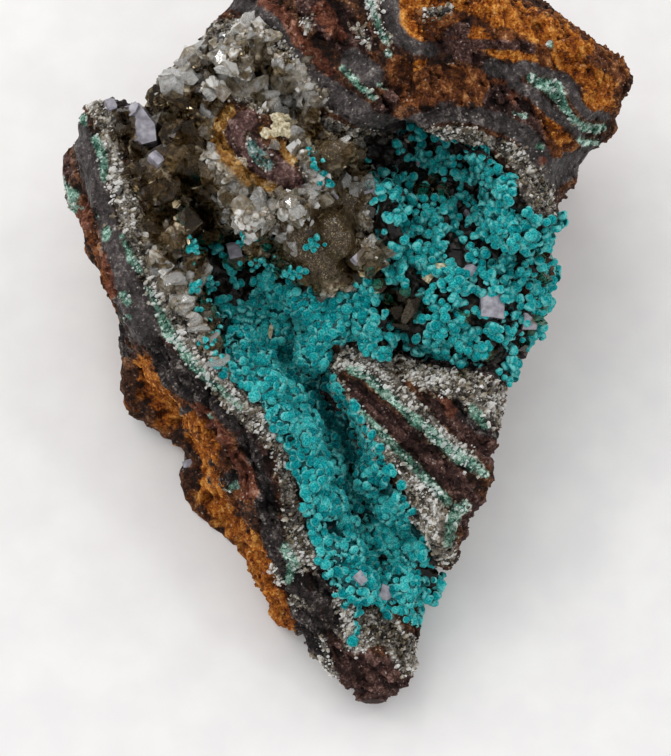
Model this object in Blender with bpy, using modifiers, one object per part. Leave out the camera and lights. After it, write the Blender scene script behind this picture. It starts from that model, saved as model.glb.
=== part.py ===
"""A hand-sized mineral specimen: chrysocolla on smoky quartz, in a hollow of banded ironstone.

The specimen is drawn in its face frame. U runs right and V up along the broken face, and W
stands out of the face towards the eye. The frame's origin is near the middle of the face, on
the level of its rim. The finished pieces hang from one empty, which leans the face back and
sets the specimen on its flat underside. Lengths are in millimetres until they reach a mesh.
"""

import math
import random

import bmesh
import bpy
import numpy as np
from mathutils import Matrix, Vector, noise

MM = 0.001

# The face leans back this much from level, so that the eye looks square at it from above.
FACE_TILT_DEG = 20.0
# The level under the face's origin at which the flat underside cuts the rock.
BASE_DEPTH = 33.0

# How far in from its edge the rock's underside goes on drawing in, and its thickness at the edge.
BELLY_LEFT = 9.0
BELLY_RIGHT = 24.0
EDGE_THICKNESS = 2.2

# Mesh detail: the squares that the sheets are sliced into, the even faces that melt shapes
# into one skin, and the faces kept of each skin.
SLICE_ROCK = 2.0
SLICE_CRUST = 1.6
ROCK_VOXEL = 1.25
CRUST_VOXEL = 0.8
ROCK_FACES = 3950
LINING_FACES = 500
CRUST_FACES = 2550
# Fracture relief over the rock, and the width of its swells.
ROCK_RELIEF = 1.9
ROCK_RELIEF_SIZE = 7.5
# The gap between two pieces that were grown together, which keeps their solids apart.
PIECE_GAP = 0.4
SEED = 11

# The rock as the eye sees it from square in front, clockwise from the notch at the upper left.
ROCK_OUTLINE = [
    (-29.8, 41.5), (-29.6, 45.0), (-28.6, 49.0), (-24.5, 52.6), (-20.2, 56.6), (-16.8, 61.4),
    (-14.0, 65.6), (-8.0, 68.8), (-2.0, 72.4), (6.0, 74.6), (14.0, 72.6), (20.0, 73.0),
    (26.0, 68.0), (33.0, 63.2), (38.0, 59.4), (43.0, 55.6), (48.4, 50.4), (47.6, 46.2),
    (46.4, 43.6), (44.6, 40.8), (42.6, 38.4), (39.2, 32.4), (38.0, 28.2), (35.8, 22.6),
    (35.2, 18.6), (35.0, 13.8), (34.2, 8.8), (31.2, 5.4), (28.8, 0.6), (26.6, -5.4),
    (25.8, -12.6), (23.8, -15.6), (24.2, -18.4), (21.6, -26.0), (19.8, -30.0), (16.2, -31.6),
    (17.2, -34.0), (14.8, -37.0), (14.8, -41.6), (12.6, -44.8), (12.4, -49.4), (9.2, -51.4),
    (5.8, -53.6), (2.0, -51.0), (-0.6, -48.2), (-4.6, -43.0), (-8.8, -39.8), (-13.4, -32.2),
    (-17.2, -26.2), (-21.8, -22.4), (-25.4, -18.8), (-25.6, -13.6), (-28.4, -10.2),
    (-33.8, -6.4), (-36.2, -3.2), (-37.4, 1.4), (-36.2, 6.4), (-37.4, 12.6), (-39.0, 17.6),
    (-42.2, 23.0), (-44.6, 29.4), (-45.2, 35.2), (-43.6, 37.8), (-41.6, 43.6), (-38.2, 45.6),
    (-35.4, 43.4), (-31.6, 43.8),
]

# Brush strokes that shape the face, in the order they are laid. Each point is
# (u, v, level, radius, soft): the level is reached within the radius, and fades over soft.
FACE_STROKES = {
    "top block": [(-8, 60, 2.0, 8, 8), (8, 54, 3.5, 12, 8), (26, 52, 3.0, 10, 8), (38, 48, 1.0, 5, 6)],
    "top edge": [
        (-29, 44, -9, 0.4, 3), (-24, 52.5, -8, 0.6, 4), (-16, 62, -9, 0.8, 5), (-2, 72.5, -13, 1, 7),
        (14, 74, -14, 1, 8), (28, 67, -12, 1, 6), (42, 57, -8, 0.8, 4), (48.4, 50, -7, 0.5, 3),
    ],
    "right shoulder": [
        (47.5, 46, -9, 0.5, 4), (43, 39, -13, 0.8, 6), (39, 32, -14, 1, 6), (36, 25, -13, 0.8, 5),
    ],
    "left flank": [
        (-38, 45.5, -6, 0.3, 2), (-44.4, 36, -13, 0.5, 3.5), (-43, 24, -15, 0.8, 4), (-38, 13, -17, 1, 4.5),
        (-36.6, 4, -20, 1.5, 7), (-34, -5, -24, 2.5, 9.5), (-26, -11, -24, 3, 9.5), (-25, -18, -24, 1.8, 8),
        (-17.5, -26, -22, 1, 6), (-13, -32.5, -20, 0.8, 5), (-5.5, -42.5, -17, 0.8, 4), (0, -49, -14, 0.6, 3),
    ],
    "toe edge": [(2, -51.5, -12, 0.4, 2.5), (9, -51.6, -12, 0.4, 2.5), (13.5, -46, -11, 0.4, 2), (15, -38, -13, 0.4, 2)],
    "right edge": [
        (17, -32, -13, 0.4, 2), (21.6, -26, -11, 0.4, 2.5), (24.2, -17, -10, 0.4, 2.5),
        (26.2, -8, -10, 0.4, 2.5), (29, 1, -11, 0.4, 2.5), (34.5, 9, -12, 0.4, 2.5), (35.2, 20, -13, 0.4, 2.5),
    ],
    "chamber floor": [
        (2, 34, -15, 2.5, 3.5), (14, 32, -16.5, 4.5, 4), (23, 29, -15, 3, 3.5), (16, 24, -12.5, 10, 5),
        (24, 18, -10.5, 8, 4), (24, 10, -10.5, 7, 4), (12, 8, -11.5, 6, 4), (3, 10, -10, 3, 4),
    ],
    "chamber mound": [(8, 12, -7, 3, 6), (19, 13.5, -6, 5, 7), (25, 10, -8, 3, 5)],
    "pocket by the ledge": [(9.6, 5.6, -15, 1.4, 2.5), (15.5, 4.8, -15, 1.6, 2.5)],
    "channel": [(-29.4, 40.5, -13, 1.2, 2.5), (-26.6, 33, -16, 1.6, 4.5), (-23, 25, -17, 2.5, 5), (-17, 18, -15, 5, 6)],
    "trough": [
        (-16, 15, -14, 4, 8), (-9, 7, -16, 3.5, 9), (-3, -1, -19, 2.2, 8), (0.2, -8, -22, 2, 7),
        (2.6, -16, -20, 2.5, 6.5), (5.5, -24, -16, 4, 6), (9.5, -31, -13, 5, 4.5), (14, -36, -13, 2.5, 3),
    ],
    "smoky hump": [(0.6, 26, -5.5, 2.6, 4), (3.4, 20.6, -6.5, 2.8, 4.5)],
    "chamber sill": [(-0.6, 13, -8, 0.8, 4), (-1.8, 6, -9, 0.6, 3.5)],
    "crystal knob": [
        (-22.5, 47, -3, 3, 5), (-17, 44, -0.5, 5, 4), (-13.5, 37.5, 1.0, 5.6, 4), (-8, 32.5, 1.0, 4.4, 4.5),
    ],
    "pocket in the knob": [(-11.2, 49.5, -8, 1.6, 3), (-6, 42.5, -9, 1, 2.5)],
    "banded ledge": [(-0.8, 2.0, -4, 0.9, 2.5), (6, -3.4, -2.5, 3.6, 2.5), (13, -8.6, -2, 7, 2.5), (17, -13, -2.5, 8.6, 2.5)],
    "left rim": [
        (-38, 41.5, 0.5, 1.8, 3), (-37, 31, 1.5, 3.2, 3.5), (-32.4, 19, 1.5, 3.6, 3.5), (-27, 8, 1.5, 3.8, 3.5),
        (-19.5, -3, 1.5, 4, 3.5), (-12.5, -12.5, 0.5, 3.8, 3.5), (-9.4, -22, -0.5, 3, 3), (-6, -31, -2, 2.6, 3),
        (-1.6, -39.4, -4, 3, 3), (3.4, -45, -6, 3.6, 3),
    ],
    "toe": [(6, -44.5, -5.5, 4.6, 3), (8.6, -40, -7, 3.4, 3)],
}

# The chip of ironstone that stands out through the crystals of the knob.
CHIP_STROKES = {"maroon chip": [(-14.6, 41.4, 3.2, 3.0, 1.4), (-11.0, 36.6, 3.8, 4.0, 1.4), (-7.4, 32.2, 3.0, 2.6, 1.4)]}

# The roof of the chamber hangs over its floor: (u, v, reach, radius, soft) of the undercut.
UNDERCUT = [(1, 35, 4.0, 1, 6), (12, 34, 7.5, 3, 7), (22, 33, 6.5, 2, 6)]
UNDERCUT_FULL_DEPTH = 12.0

# The crystal lining and the chrysocolla crust, each as its plan outline on the face.
LINING_OUTLINE = [
    (-30.6, 41.0), (-29.0, 43.2), (-27.4, 47.0), (-23.6, 50.2), (-19.0, 53.6), (-14.6, 56.4),
    (-9.6, 55.4), (-6.4, 51.0), (-3.4, 45.0), (-1.6, 40.2), (3.4, 37.6), (6.6, 35.0),
    (8.4, 30.0), (8.0, 22.0), (5.4, 14.0), (0.0, 11.0), (-6.0, 14.0), (-12.0, 15.0),
    (-17.0, 12.0), (-19.0, 4.0), (-16.4, -1.4), (-21.8, 6.0), (-26.6, 14.8), (-30.2, 22.6),
    (-32.6, 30.0), (-33.6, 36.6), (-33.2, 41.6),
]
CRUST_OUTLINE = [
    (-24.2, 22.6), (-19.0, 22.8), (-13.6, 20.6), (-8.4, 18.4), (-4.0, 16.6), (-1.0, 13.6),
    (3.6, 15.4), (6.4, 19.6), (6.8, 25.4), (5.4, 30.0), (2.8, 34.4), (8.0, 35.4), (14.8, 36.6),
    (20.2, 36.8), (25.0, 35.2), (28.8, 31.2), (32.8, 27.0), (33.8, 19.8), (33.6, 14.0),
    (32.2, 9.6), (28.0, 5.4), (24.4, 3.4), (18.6, 3.0), (12.8, 4.0), (8.0, 5.4), (3.0, 6.6),
    (-1.4, 5.2), (-2.6, 1.4), (-1.4, -1.8), (2.6, -6.8), (6.6, -12.4), (10.2, -18.2),
    (12.6, -23.0), (15.4, -27.4), (17.0, -31.0), (16.4, -34.2), (14.0, -36.8), (8.6, -36.8),
    (3.2, -36.0), (0.0, -31.4), (-2.8, -26.0), (-5.4, -19.4), (-7.6, -11.8), (-13.2, -3.2),
    (-18.8, 5.0), (-22.8, 13.0), (-24.8, 18.6),
]
LINING_THICKNESS = 1.6
CRUST_THICKNESS = 1.9
# The crusts thin to 0.6 of this over the taper's width, along their rims.
CRUST_TAPER = 2.5
# How far the crusts' raw sheets reach under the rock's face before the rock is cut out of them.
SINK = 1.6
LUMP_SPACING = 4.6
LUMP_RADIUS = (2.3, 3.2)

CRYSTAL_SITES = [
    # (u, v, length, width): the large crystals of the channel, the knob, the hump and the sill
    (-30.6, 41.4, 8.0, 4.4), (-29.4, 36.6, 7.0, 4.6), (-28.0, 31.4, 7.5, 5.0), (-25.6, 26.4, 8.0, 5.4),
    (-22.6, 31.0, 8.0, 5.6), (-19.4, 25.2, 7.0, 5.2), (-23.2, 37.4, 8.5, 5.6), (-25.0, 44.4, 8.0, 5.4),
    (-20.6, 50.0, 7.0, 5.0), (-16.0, 50.6, 7.0, 4.6), (-7.4, 47.6, 7.0, 4.6), (-4.8, 41.6, 7.0, 4.6),
    (-20.2, 43.6, 6.5, 4.8), (-3.0, 35.6, 7.0, 5.0), (-5.6, 27.6, 7.0, 5.2), (-11.6, 26.6, 7.0, 5.0),
    (0.2, 25.6, 7.5, 6.4), (3.8, 21.2, 7.5, 6.0), (2.2, 31.0, 6.5, 5.0), (-2.0, 20.4, 6.5, 5.0),
    (-17.0, 33.0, 7.0, 5.0), (-27.6, 21.4, 6.5, 4.4), (-24.6, 14.4, 6.0, 4.0), (-31.4, 34.6, 6.5, 4.4),
    (-30.6, 28.4, 6.5, 4.4), (-13.6, 22.6, 6.0, 4.6), (-9.0, 22.0, 6.0, 4.4), (-12.0, 53.0, 6.5, 4.4),
]


def millimetres(*values):
    """A point or a length of the drawing, as Blender's metres."""
    return Vector(values) * MM


def along(points, u, v):
    """For each place (u, v): its distance from a stroke's line, and the stroke's values there."""
    best = np.full(u.shape, np.inf)
    values = np.zeros((len(points[0]) - 2,) + u.shape)
    for start, end in zip(points, points[1:]):
        du, dv = end[0] - start[0], end[1] - start[1]
        share = np.clip(((u - start[0]) * du + (v - start[1]) * dv) / (du * du + dv * dv), 0, 1)
        distance = np.hypot(u - start[0] - share * du, v - start[1] - share * dv)
        nearer = distance < best
        best = np.where(nearer, distance, best)
        for k in range(len(values)):
            here = start[k + 2] + share * (end[k + 2] - start[k + 2])
            values[k] = np.where(nearer, here, values[k])
    return best, values


def fade(distance, radius, soft):
    """1 within the radius, falling smoothly to 0 over the soft width beyond it."""
    t = np.clip((distance - radius) / soft, 0, 1)
    return 1 - t * t * (3 - 2 * t)


def face_level(u, v, strokes=FACE_STROKES):
    """The rock's face over (u, v), before the fracture roughness."""
    w = np.zeros_like(u)
    for points in strokes.values():
        distance, (level, radius, soft) = along(points, u, v)
        w += (level - w) * fade(distance, radius, soft)
    return w


def undercut(u, v, w):
    """How far the hollow's wall runs back under its roof at (u, v), when it lies at level w."""
    distance, (reach, radius, soft) = along(UNDERCUT, u, v)
    return reach * fade(distance, radius, soft) * np.clip(-w / UNDERCUT_FULL_DEPTH, 0, 1)


def inset(outline, u, v):
    """How far inside the outline each place lies, without a sign."""
    closed = [(*p, 0.0) for p in outline + outline[:1]]
    return along(closed, u, v)[0]


def base_level(v):
    """The level of the table's plane under the face."""
    return -BASE_DEPTH - v * math.tan(math.radians(FACE_TILT_DEG))


def sliced_sheet(outline, step):
    """A flat sheet of the outline's shape, cut into small squares by planes of both ways."""
    bm = bmesh.new()
    bm.faces.new([bm.verts.new(millimetres(u, v, 0.0)) for u, v in outline])
    for axis in (0, 1):
        values = [p[axis] for p in outline]
        normal = Vector((1, 0, 0)) if axis == 0 else Vector((0, 1, 0))
        for place in np.arange(min(values) + step, max(values), step):
            geometry = bm.verts[:] + bm.edges[:] + bm.faces[:]
            bmesh.ops.bisect_plane(bm, geom=geometry, plane_co=normal * float(place) * MM, plane_no=normal)
    bmesh.ops.remove_doubles(bm, verts=bm.verts[:], dist=0.02 * MM)
    return bm


def sheet_solid(outline, step, upper, lower):
    """A closed slab over the outline, with its two skins at the levels that the functions give."""
    bm = sliced_sheet(outline, step)
    below = bm.verts[:]
    raised = bmesh.ops.extrude_face_region(bm, geom=bm.faces[:])["geom"]
    above = [g for g in raised if isinstance(g, bmesh.types.BMVert)]
    for verts, level in ((below, lower), (above, upper)):
        u = np.array([vert.co.x for vert in verts]) / MM
        v = np.array([vert.co.y for vert in verts]) / MM
        for vert, place in zip(verts, level(u, v)):
            vert.co = millimetres(*map(float, place))
    bmesh.ops.triangulate(bm, faces=bm.faces[:])
    bmesh.ops.recalc_face_normals(bm, faces=bm.faces[:])
    return bm


def new_object(name, bm, material=None, collection=None):
    mesh = bpy.data.meshes.new(name)
    bm.to_mesh(mesh)
    bm.free()
    obj = bpy.data.objects.new(name, mesh)
    (collection or bpy.context.scene.collection).objects.link(obj)
    if material:
        mesh.materials.append(material)
    return obj


def bake(obj):
    """The object's evaluated mesh as a bmesh, with its modifiers taken up."""
    graph = bpy.context.evaluated_depsgraph_get()
    mesh = bpy.data.meshes.new_from_object(obj.evaluated_get(graph))
    bm = bmesh.new()
    bm.from_mesh(mesh)
    bpy.data.meshes.remove(mesh)
    obj.modifiers.clear()
    return bm


def put_back(bm, obj):
    bm.to_mesh(obj.data)
    bm.free()
    obj.data.update()


def stone_material(name, colour, roughness, metallic=0.0):
    material = bpy.data.materials.new(name)
    material.use_nodes = True
    shader = material.node_tree.nodes["Principled BSDF"]
    shader.inputs["Base Color"].default_value = (*colour, 1.0)
    shader.inputs["Roughness"].default_value = roughness
    shader.inputs["Metallic"].default_value = metallic
    return material


def roughen(bm, strength, size, seed):
    """Broken-rock relief: broad swells with sharp-edged chips over them, fainter under the crusts."""
    shift = Vector((seed * 3.1, seed * 1.7, seed * 2.3))
    under = [holds(LINING_OUTLINE, v.co.x / MM, v.co.y / MM) and v.normal.z > -0.5 for v in bm.verts]
    for vert, covered in zip(bm.verts, under):
        place = vert.co / (size * MM) + shift
        swell = noise.fractal(place, 0.9, 2.1, 3)
        chips = noise.voronoi(place * 1.6)[0]
        chip = min(chips[1] - chips[0], 0.5) - 0.25
        vert.co += vert.normal * (strength * (0.3 if covered else 1.0) * MM * (swell + 0.9 * chip))


def underside(u, v):
    """The rock's hidden skin: it starts under the face's edge and rounds down to the base.

    It draws in slowly on the right, where the specimen hangs over the table, and fast on the left.
    """
    width = BELLY_LEFT + (BELLY_RIGHT - BELLY_LEFT) * np.clip((u + 5.0) / 35.0, 0, 1)
    belly = 1 - np.clip(inset(ROCK_OUTLINE, u, v) / width, 0, 1)
    start = face_level(u, v) - EDGE_THICKNESS
    return start + (base_level(v) - 4.0 - start) * np.sqrt(1 - belly * belly)


def cut_base(bm):
    """Trims the rock on the table's plane, and closes the cut as one flat face."""
    tilt = math.radians(FACE_TILT_DEG)
    up = Vector((0.0, math.sin(tilt), math.cos(tilt)))
    origin = millimetres(0.0, 0.0, -BASE_DEPTH)
    geometry = bm.verts[:] + bm.edges[:] + bm.faces[:]
    cut = bmesh.ops.bisect_plane(bm, geom=geometry, plane_co=origin, plane_no=up, clear_inner=True)
    rim = [g for g in cut["geom_cut"] if isinstance(g, bmesh.types.BMEdge)]
    bmesh.ops.holes_fill(bm, edges=rim, sides=0)
    bmesh.ops.triangulate(bm, faces=[f for f in bm.faces if len(f.verts) > 4])
    bmesh.ops.recalc_face_normals(bm, faces=bm.faces[:])


def build_rock(material):
    def front(u, v):
        w = face_level(u, v, {**FACE_STROKES, **CHIP_STROKES})
        return np.stack([u, v + undercut(u, v, w), w], axis=-1)

    def back(u, v):
        return np.stack([u, v, underside(u, v)], axis=-1)

    rock = new_object("host_rock", sheet_solid(ROCK_OUTLINE, SLICE_ROCK, front, back), material)
    remesh = rock.modifiers.new("even faces", "REMESH")
    remesh.mode = "VOXEL"
    remesh.voxel_size = ROCK_VOXEL * MM
    bm = bake(rock)
    bmesh.ops.smooth_vert(bm, verts=bm.verts[:], factor=0.5, use_axis_x=True, use_axis_y=True, use_axis_z=True)
    bm.normal_update()
    roughen(bm, ROCK_RELIEF, ROCK_RELIEF_SIZE, SEED)
    put_back(bm, rock)
    one_skin(rock, ROCK_VOXEL, ROCK_FACES)
    bm = bmesh.new()
    bm.from_mesh(rock.data)
    cut_base(bm)
    put_back(bm, rock)
    keep_largest(rock)
    return rock


def hollow_wall(u, v, lift):
    """The hollow's face over (u, v), lifted along its normal, with the part under the roof drawn in."""
    def place(u, v):
        w = face_level(u, v)
        return np.stack([u, v + undercut(u, v, w), w], axis=-1)

    step = 0.4
    across = place(u + step, v) - place(u - step, v)
    upward = place(u, v + step) - place(u, v - step)
    normal = np.cross(across, upward)
    normal /= np.linalg.norm(normal, axis=-1, keepdims=True)
    return place(u, v) + normal * np.asarray(lift)[..., None], normal


def crust_sheet(outline, thickness):
    """A coat over part of the hollow, which thins to its rim and sinks into the rock below."""
    def upper(u, v):
        share = np.clip(inset(outline, u, v) / CRUST_TAPER, 0, 1)
        return hollow_wall(u, v, thickness * (0.6 + 0.4 * share))[0]

    def lower(u, v):
        return hollow_wall(u, v, np.full(u.shape, -SINK))[0]

    return sheet_solid(outline, SLICE_CRUST, upper, lower)


def one_skin(obj, voxel, faces):
    """Melts the object's overlapping shapes into one closed skin of about this many faces."""
    remesh = obj.modifiers.new("one skin", "REMESH")
    remesh.mode = "VOXEL"
    remesh.voxel_size = voxel * MM
    put_back(bake(obj), obj)
    triangles = sum(len(face.vertices) - 2 for face in obj.data.polygons)
    fewer = obj.modifiers.new("fewer faces", "DECIMATE")
    fewer.ratio = faces / triangles
    put_back(bake(obj), obj)


def crystal(place, axis, length, width, turn):
    """A six-sided crystal with a pointed end, its foot at the place, as a bmesh of its own."""
    bm = bmesh.new()
    bmesh.ops.create_cone(
        bm, cap_ends=True, segments=6, radius1=0.5 * width, radius2=0.46 * width, depth=length
    )
    top = max(bm.faces, key=lambda face: face.calc_center_median().z)
    point = bmesh.ops.extrude_discrete_faces(bm, faces=[top])["faces"][0]
    bmesh.ops.translate(bm, verts=point.verts[:], vec=(0.04 * width, 0.03 * width, 0.42 * width))
    bmesh.ops.scale(
        bm, verts=point.verts[:], vec=(0.12, 0.12, 1.0), space=Matrix.Translation(-point.calc_center_median())
    )
    turned = axis.to_track_quat("Z", "Y").to_matrix().to_4x4() @ Matrix.Rotation(turn, 4, "Z")
    matrix = Matrix.Scale(MM, 4) @ Matrix.Translation(place) @ turned
    bmesh.ops.transform(bm, verts=bm.verts[:], matrix=matrix @ Matrix.Translation((0, 0, 0.3 * length)))
    return bm


def add_lump(bm, place, radius, squash):
    """One rounded lump of the crust."""
    made = bmesh.ops.create_icosphere(bm, subdivisions=2, radius=radius * MM)["verts"]
    bmesh.ops.scale(bm, verts=made, vec=(1.0, 1.0, squash))
    bmesh.ops.translate(bm, verts=made, vec=place * MM)


def boolean(obj, other, operation):
    """Joins or cuts the object by the other one for good, and takes the other one away."""
    modifier = obj.modifiers.new(operation.lower(), "BOOLEAN")
    modifier.operation = operation
    modifier.solver = "EXACT"
    modifier.use_self = other.name.endswith("_swollen")
    modifier.object = other
    put_back(bake(obj), obj)
    bpy.data.objects.remove(other)


def swollen_copy(obj, gap):
    """A copy of the object, grown by the gap along its normals, to cut what lies on it."""
    bm = bmesh.new()
    bm.from_mesh(obj.data)
    bm.normal_update()
    for vert in bm.verts:
        vert.co += vert.normal * (gap * MM * min(vert.calc_shell_factor(), 1.5))
    return new_object(obj.name + "_swollen", bm)


def keep_largest(obj):
    """Drops the chips that a cut leaves loose, and keeps the biggest body."""
    bm = bmesh.new()
    bm.from_mesh(obj.data)
    todo, bodies = set(bm.verts), []
    while todo:
        body, front = set(), [todo.pop()]
        while front:
            vert = front.pop()
            body.add(vert)
            near = {edge.other_vert(vert) for edge in vert.link_edges} & todo
            todo -= near
            front.extend(near)
        bodies.append(body)
    bodies.sort(key=len)
    bmesh.ops.delete(bm, geom=[vert for body in bodies[:-1] for vert in body], context="VERTS")
    bmesh.ops.triangulate(bm, faces=bm.faces[:])
    put_back(bm, obj)


def scattered(outline, spacing, margin, lift, rng):
    """Places on the hollow's wall inside the outline, none nearer to another than the spacing."""
    us, vs = [p[0] for p in outline], [p[1] for p in outline]
    tries = [(rng.uniform(min(us), max(us)), rng.uniform(min(vs), max(vs))) for _ in range(5000)]
    tries = np.array([t for t in tries if holds(outline, *t)])
    tries = tries[inset(outline, tries[:, 0], tries[:, 1]) > margin]
    found = []
    for place in hollow_wall(tries[:, 0], tries[:, 1], np.full(len(tries), lift))[0]:
        if all(np.linalg.norm(place - other) >= spacing for other in found):
            found.append(place)
    return [Vector(place) for place in found]


def holds(outline, u, v):
    """Whether the outline goes round the place: its edges cross a ray to the right an odd number of times."""
    inside = False
    for (a, b), (c, d) in zip(outline, outline[1:] + outline[:1]):
        if (b > v) != (d > v) and u < a + (v - b) * (c - a) / (d - b):
            inside = not inside
    return inside


def build_crust(material, rock):
    """The chrysocolla crust, and the shape that makes room for it in the lining."""
    rng = random.Random(SEED)
    bm = crust_sheet(CRUST_OUTLINE, CRUST_THICKNESS)
    for middle in scattered(CRUST_OUTLINE, LUMP_SPACING, 0.6, CRUST_THICKNESS, rng):
        add_lump(bm, middle, rng.uniform(*LUMP_RADIUS), rng.uniform(0.8, 1.0))
    crust = new_object("chrysocolla_crust", bm, material)
    one_skin(crust, CRUST_VOXEL, CRUST_FACES)
    room = swollen_copy(crust, PIECE_GAP)
    boolean(crust, swollen_copy(rock, PIECE_GAP), "DIFFERENCE")
    keep_largest(crust)
    return crust, room


def build_lining(material, rock, room):
    rng = random.Random(SEED)
    lining = new_object("quartz_lining", crust_sheet(LINING_OUTLINE, LINING_THICKNESS), material)
    one_skin(lining, CRUST_VOXEL, LINING_FACES)
    for u, v, length, width in CRYSTAL_SITES:
        foot, normal = hollow_wall(np.array(u), np.array(v), 0.2)
        lean = Vector((rng.uniform(-0.5, 0.5), rng.uniform(-0.5, 0.5), rng.uniform(0.0, 0.8)))
        bm = crystal(Vector(foot), (Vector(normal) + lean).normalized(), length, width, rng.uniform(0, 1))
        boolean(lining, new_object("crystal", bm), "UNION")
    boolean(lining, swollen_copy(rock, PIECE_GAP), "DIFFERENCE")
    boolean(lining, room, "DIFFERENCE")
    keep_largest(lining)
    return lining


def seat(pieces):
    """Where the face's frame stands, for the specimen to rest on the table over the world's origin."""
    turn = np.array(Matrix.Rotation(math.radians(FACE_TILT_DEG), 3, "X"))
    points = np.array([vert.co for piece in pieces for vert in piece.data.vertices]) @ turn.T
    low, high = points.min(axis=0), points.max(axis=0)
    return Vector((-0.5 * (low[0] + high[0]), -0.5 * (low[1] + high[1]), -low[2]))


def main():
    for obj in list(bpy.data.objects):
        bpy.data.objects.remove(obj)
    specimen = bpy.data.collections.new("chrysocolla_specimen")
    bpy.context.scene.collection.children.link(specimen)

    rock = build_rock(stone_material("ironstone", (0.105, 0.050, 0.028), 0.85))
    crust, room = build_crust(stone_material("chrysocolla", (0.028, 0.270, 0.270), 0.60), rock)
    lining = build_lining(stone_material("smoky_quartz", (0.120, 0.100, 0.075), 0.30), rock, room)

    face_frame = bpy.data.objects.new("face_frame", None)
    face_frame.location = seat((rock, lining, crust))
    print("face frame at", tuple(round(x / MM, 3) for x in face_frame.location), "mm")
    face_frame.rotation_euler = (math.radians(FACE_TILT_DEG), 0.0, 0.0)
    specimen.objects.link(face_frame)
    for piece in (rock, lining, crust):
        bpy.context.scene.collection.objects.unlink(piece)
        specimen.objects.link(piece)
        piece.parent = face_frame
        print(piece.name, len(piece.data.polygons), "triangles")


main()
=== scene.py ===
# %% [markdown]
# # A chrysocolla specimen
# This lesson dresses one mineral specimen: a wedge of banded ironstone, broken open on a hollow
# that smoky quartz lines and teal chrysocolla coats. The solids of its rock, its quartz and its
# crust come ready made. They say where everything is, and this script gives them their surface:
# a finer skin over the rock, thousands of small crystals and rounded lumps, and the materials.

import math
import random

import bmesh
import bpy
import numpy as np
from mathutils import Matrix, Vector, noise
from mathutils.bvhtree import BVHTree
from mathutils.kdtree import KDTree


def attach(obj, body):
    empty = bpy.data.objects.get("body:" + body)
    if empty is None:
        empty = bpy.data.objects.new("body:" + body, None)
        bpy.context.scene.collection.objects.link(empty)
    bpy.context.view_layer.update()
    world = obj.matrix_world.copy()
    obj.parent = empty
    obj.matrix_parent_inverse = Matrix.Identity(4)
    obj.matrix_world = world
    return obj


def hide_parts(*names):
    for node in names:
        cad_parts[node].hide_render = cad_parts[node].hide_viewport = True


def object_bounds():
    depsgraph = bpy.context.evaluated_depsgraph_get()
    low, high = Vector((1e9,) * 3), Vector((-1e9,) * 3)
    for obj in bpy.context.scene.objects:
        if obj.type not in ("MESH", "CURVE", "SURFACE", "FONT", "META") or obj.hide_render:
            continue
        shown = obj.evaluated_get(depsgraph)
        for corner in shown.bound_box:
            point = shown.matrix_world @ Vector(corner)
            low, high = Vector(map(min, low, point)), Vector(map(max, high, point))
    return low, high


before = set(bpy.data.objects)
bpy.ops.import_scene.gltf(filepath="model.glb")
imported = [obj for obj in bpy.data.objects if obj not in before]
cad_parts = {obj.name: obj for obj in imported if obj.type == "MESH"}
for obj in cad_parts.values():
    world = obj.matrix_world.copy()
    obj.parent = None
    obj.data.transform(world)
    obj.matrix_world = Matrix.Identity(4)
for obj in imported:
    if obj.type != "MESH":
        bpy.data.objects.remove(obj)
CAD_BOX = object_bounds()
MM = 0.001
print("solids:", sorted(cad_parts), "in a box of", CAD_BOX)

# %% [markdown]
# ## Where the broken face is
# The specimen lies with its broken face leaning back 20 degrees, and the photograph looks square
# at that face. So every mark is easiest to place in the face's own frame: u to the right, v up
# along the face, w out of it towards the eye, in millimetres. The marks were measured on the
# photograph, and an eye sees a deep point nearer to the middle than it is, so `seen` gives the
# place where a point shows on the plane through the face's middle. That way a mark can be kept as
# the photograph shows it, and still lands on stone that lies deep in the hollow.

# %% The face's frame, and the eye's
FACE_TILT = math.radians(20.0)
FACE_AT = Vector((-1.887, -18.292, 31.010))  # mm, the middle of the face
EYE_DISTANCE = 336.0  # mm
PHOTO_MIDDLE, MM_PER_PIXEL = (335.5, 378.0), 0.16
OUTSIDE, FAR_OUTSIDE = -50.0, -8.0  # mm, where no zone is near, and as far out as a mesh keeps
FACE = Matrix.Translation(FACE_AT * MM) @ Matrix.Rotation(FACE_TILT, 4, "X") @ Matrix.Scale(MM, 4)
TO_FACE = np.array(FACE.inverted())


def on_face(points):
    """World points, in metres, as rows of u, v and w in millimetres."""
    return np.asarray(points) @ TO_FACE[:3, :3].T + TO_FACE[:3, 3]


def seen(points):
    """Where the eye sees the world points on the face's middle plane, as rows of u and v."""
    uvw = on_face(points)
    return uvw[:, :2] * (EYE_DISTANCE / (EYE_DISTANCE - uvw[:, 2:]))


def from_photo(marks):
    """Marks of (x, y, radius), in the photograph's pixels, as (u, v, radius) in millimetres."""
    x_middle, y_middle = PHOTO_MIDDLE
    return [
        ((x - x_middle) * MM_PER_PIXEL, (y_middle - y) * MM_PER_PIXEL, r * MM_PER_PIXEL) for x, y, r in marks
    ]


def depth_inside(places, strokes):
    """How far inside a zone each place is, in mm. A zone is strokes: lines with a radius at each mark."""
    inside = np.full(len(places), OUTSIDE)
    for stroke in strokes:
        marks = from_photo(stroke)
        for start, end in zip(marks, marks[1:] if len(marks) > 1 else marks):
            line = np.subtract(end[:2], start[:2])
            length_squared = float(line @ line) or 1.0
            share = np.clip((places - start[:2]) @ line / length_squared, 0, 1)
            gap = np.linalg.norm(places - start[:2] - share[:, None] * line, axis=1)
            inside = np.maximum(inside, start[2] + share * (end[2] - start[2]) - gap)
    return inside


print("the face's middle is at", tuple(round(x * MM, 4) for x in FACE_AT))

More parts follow.
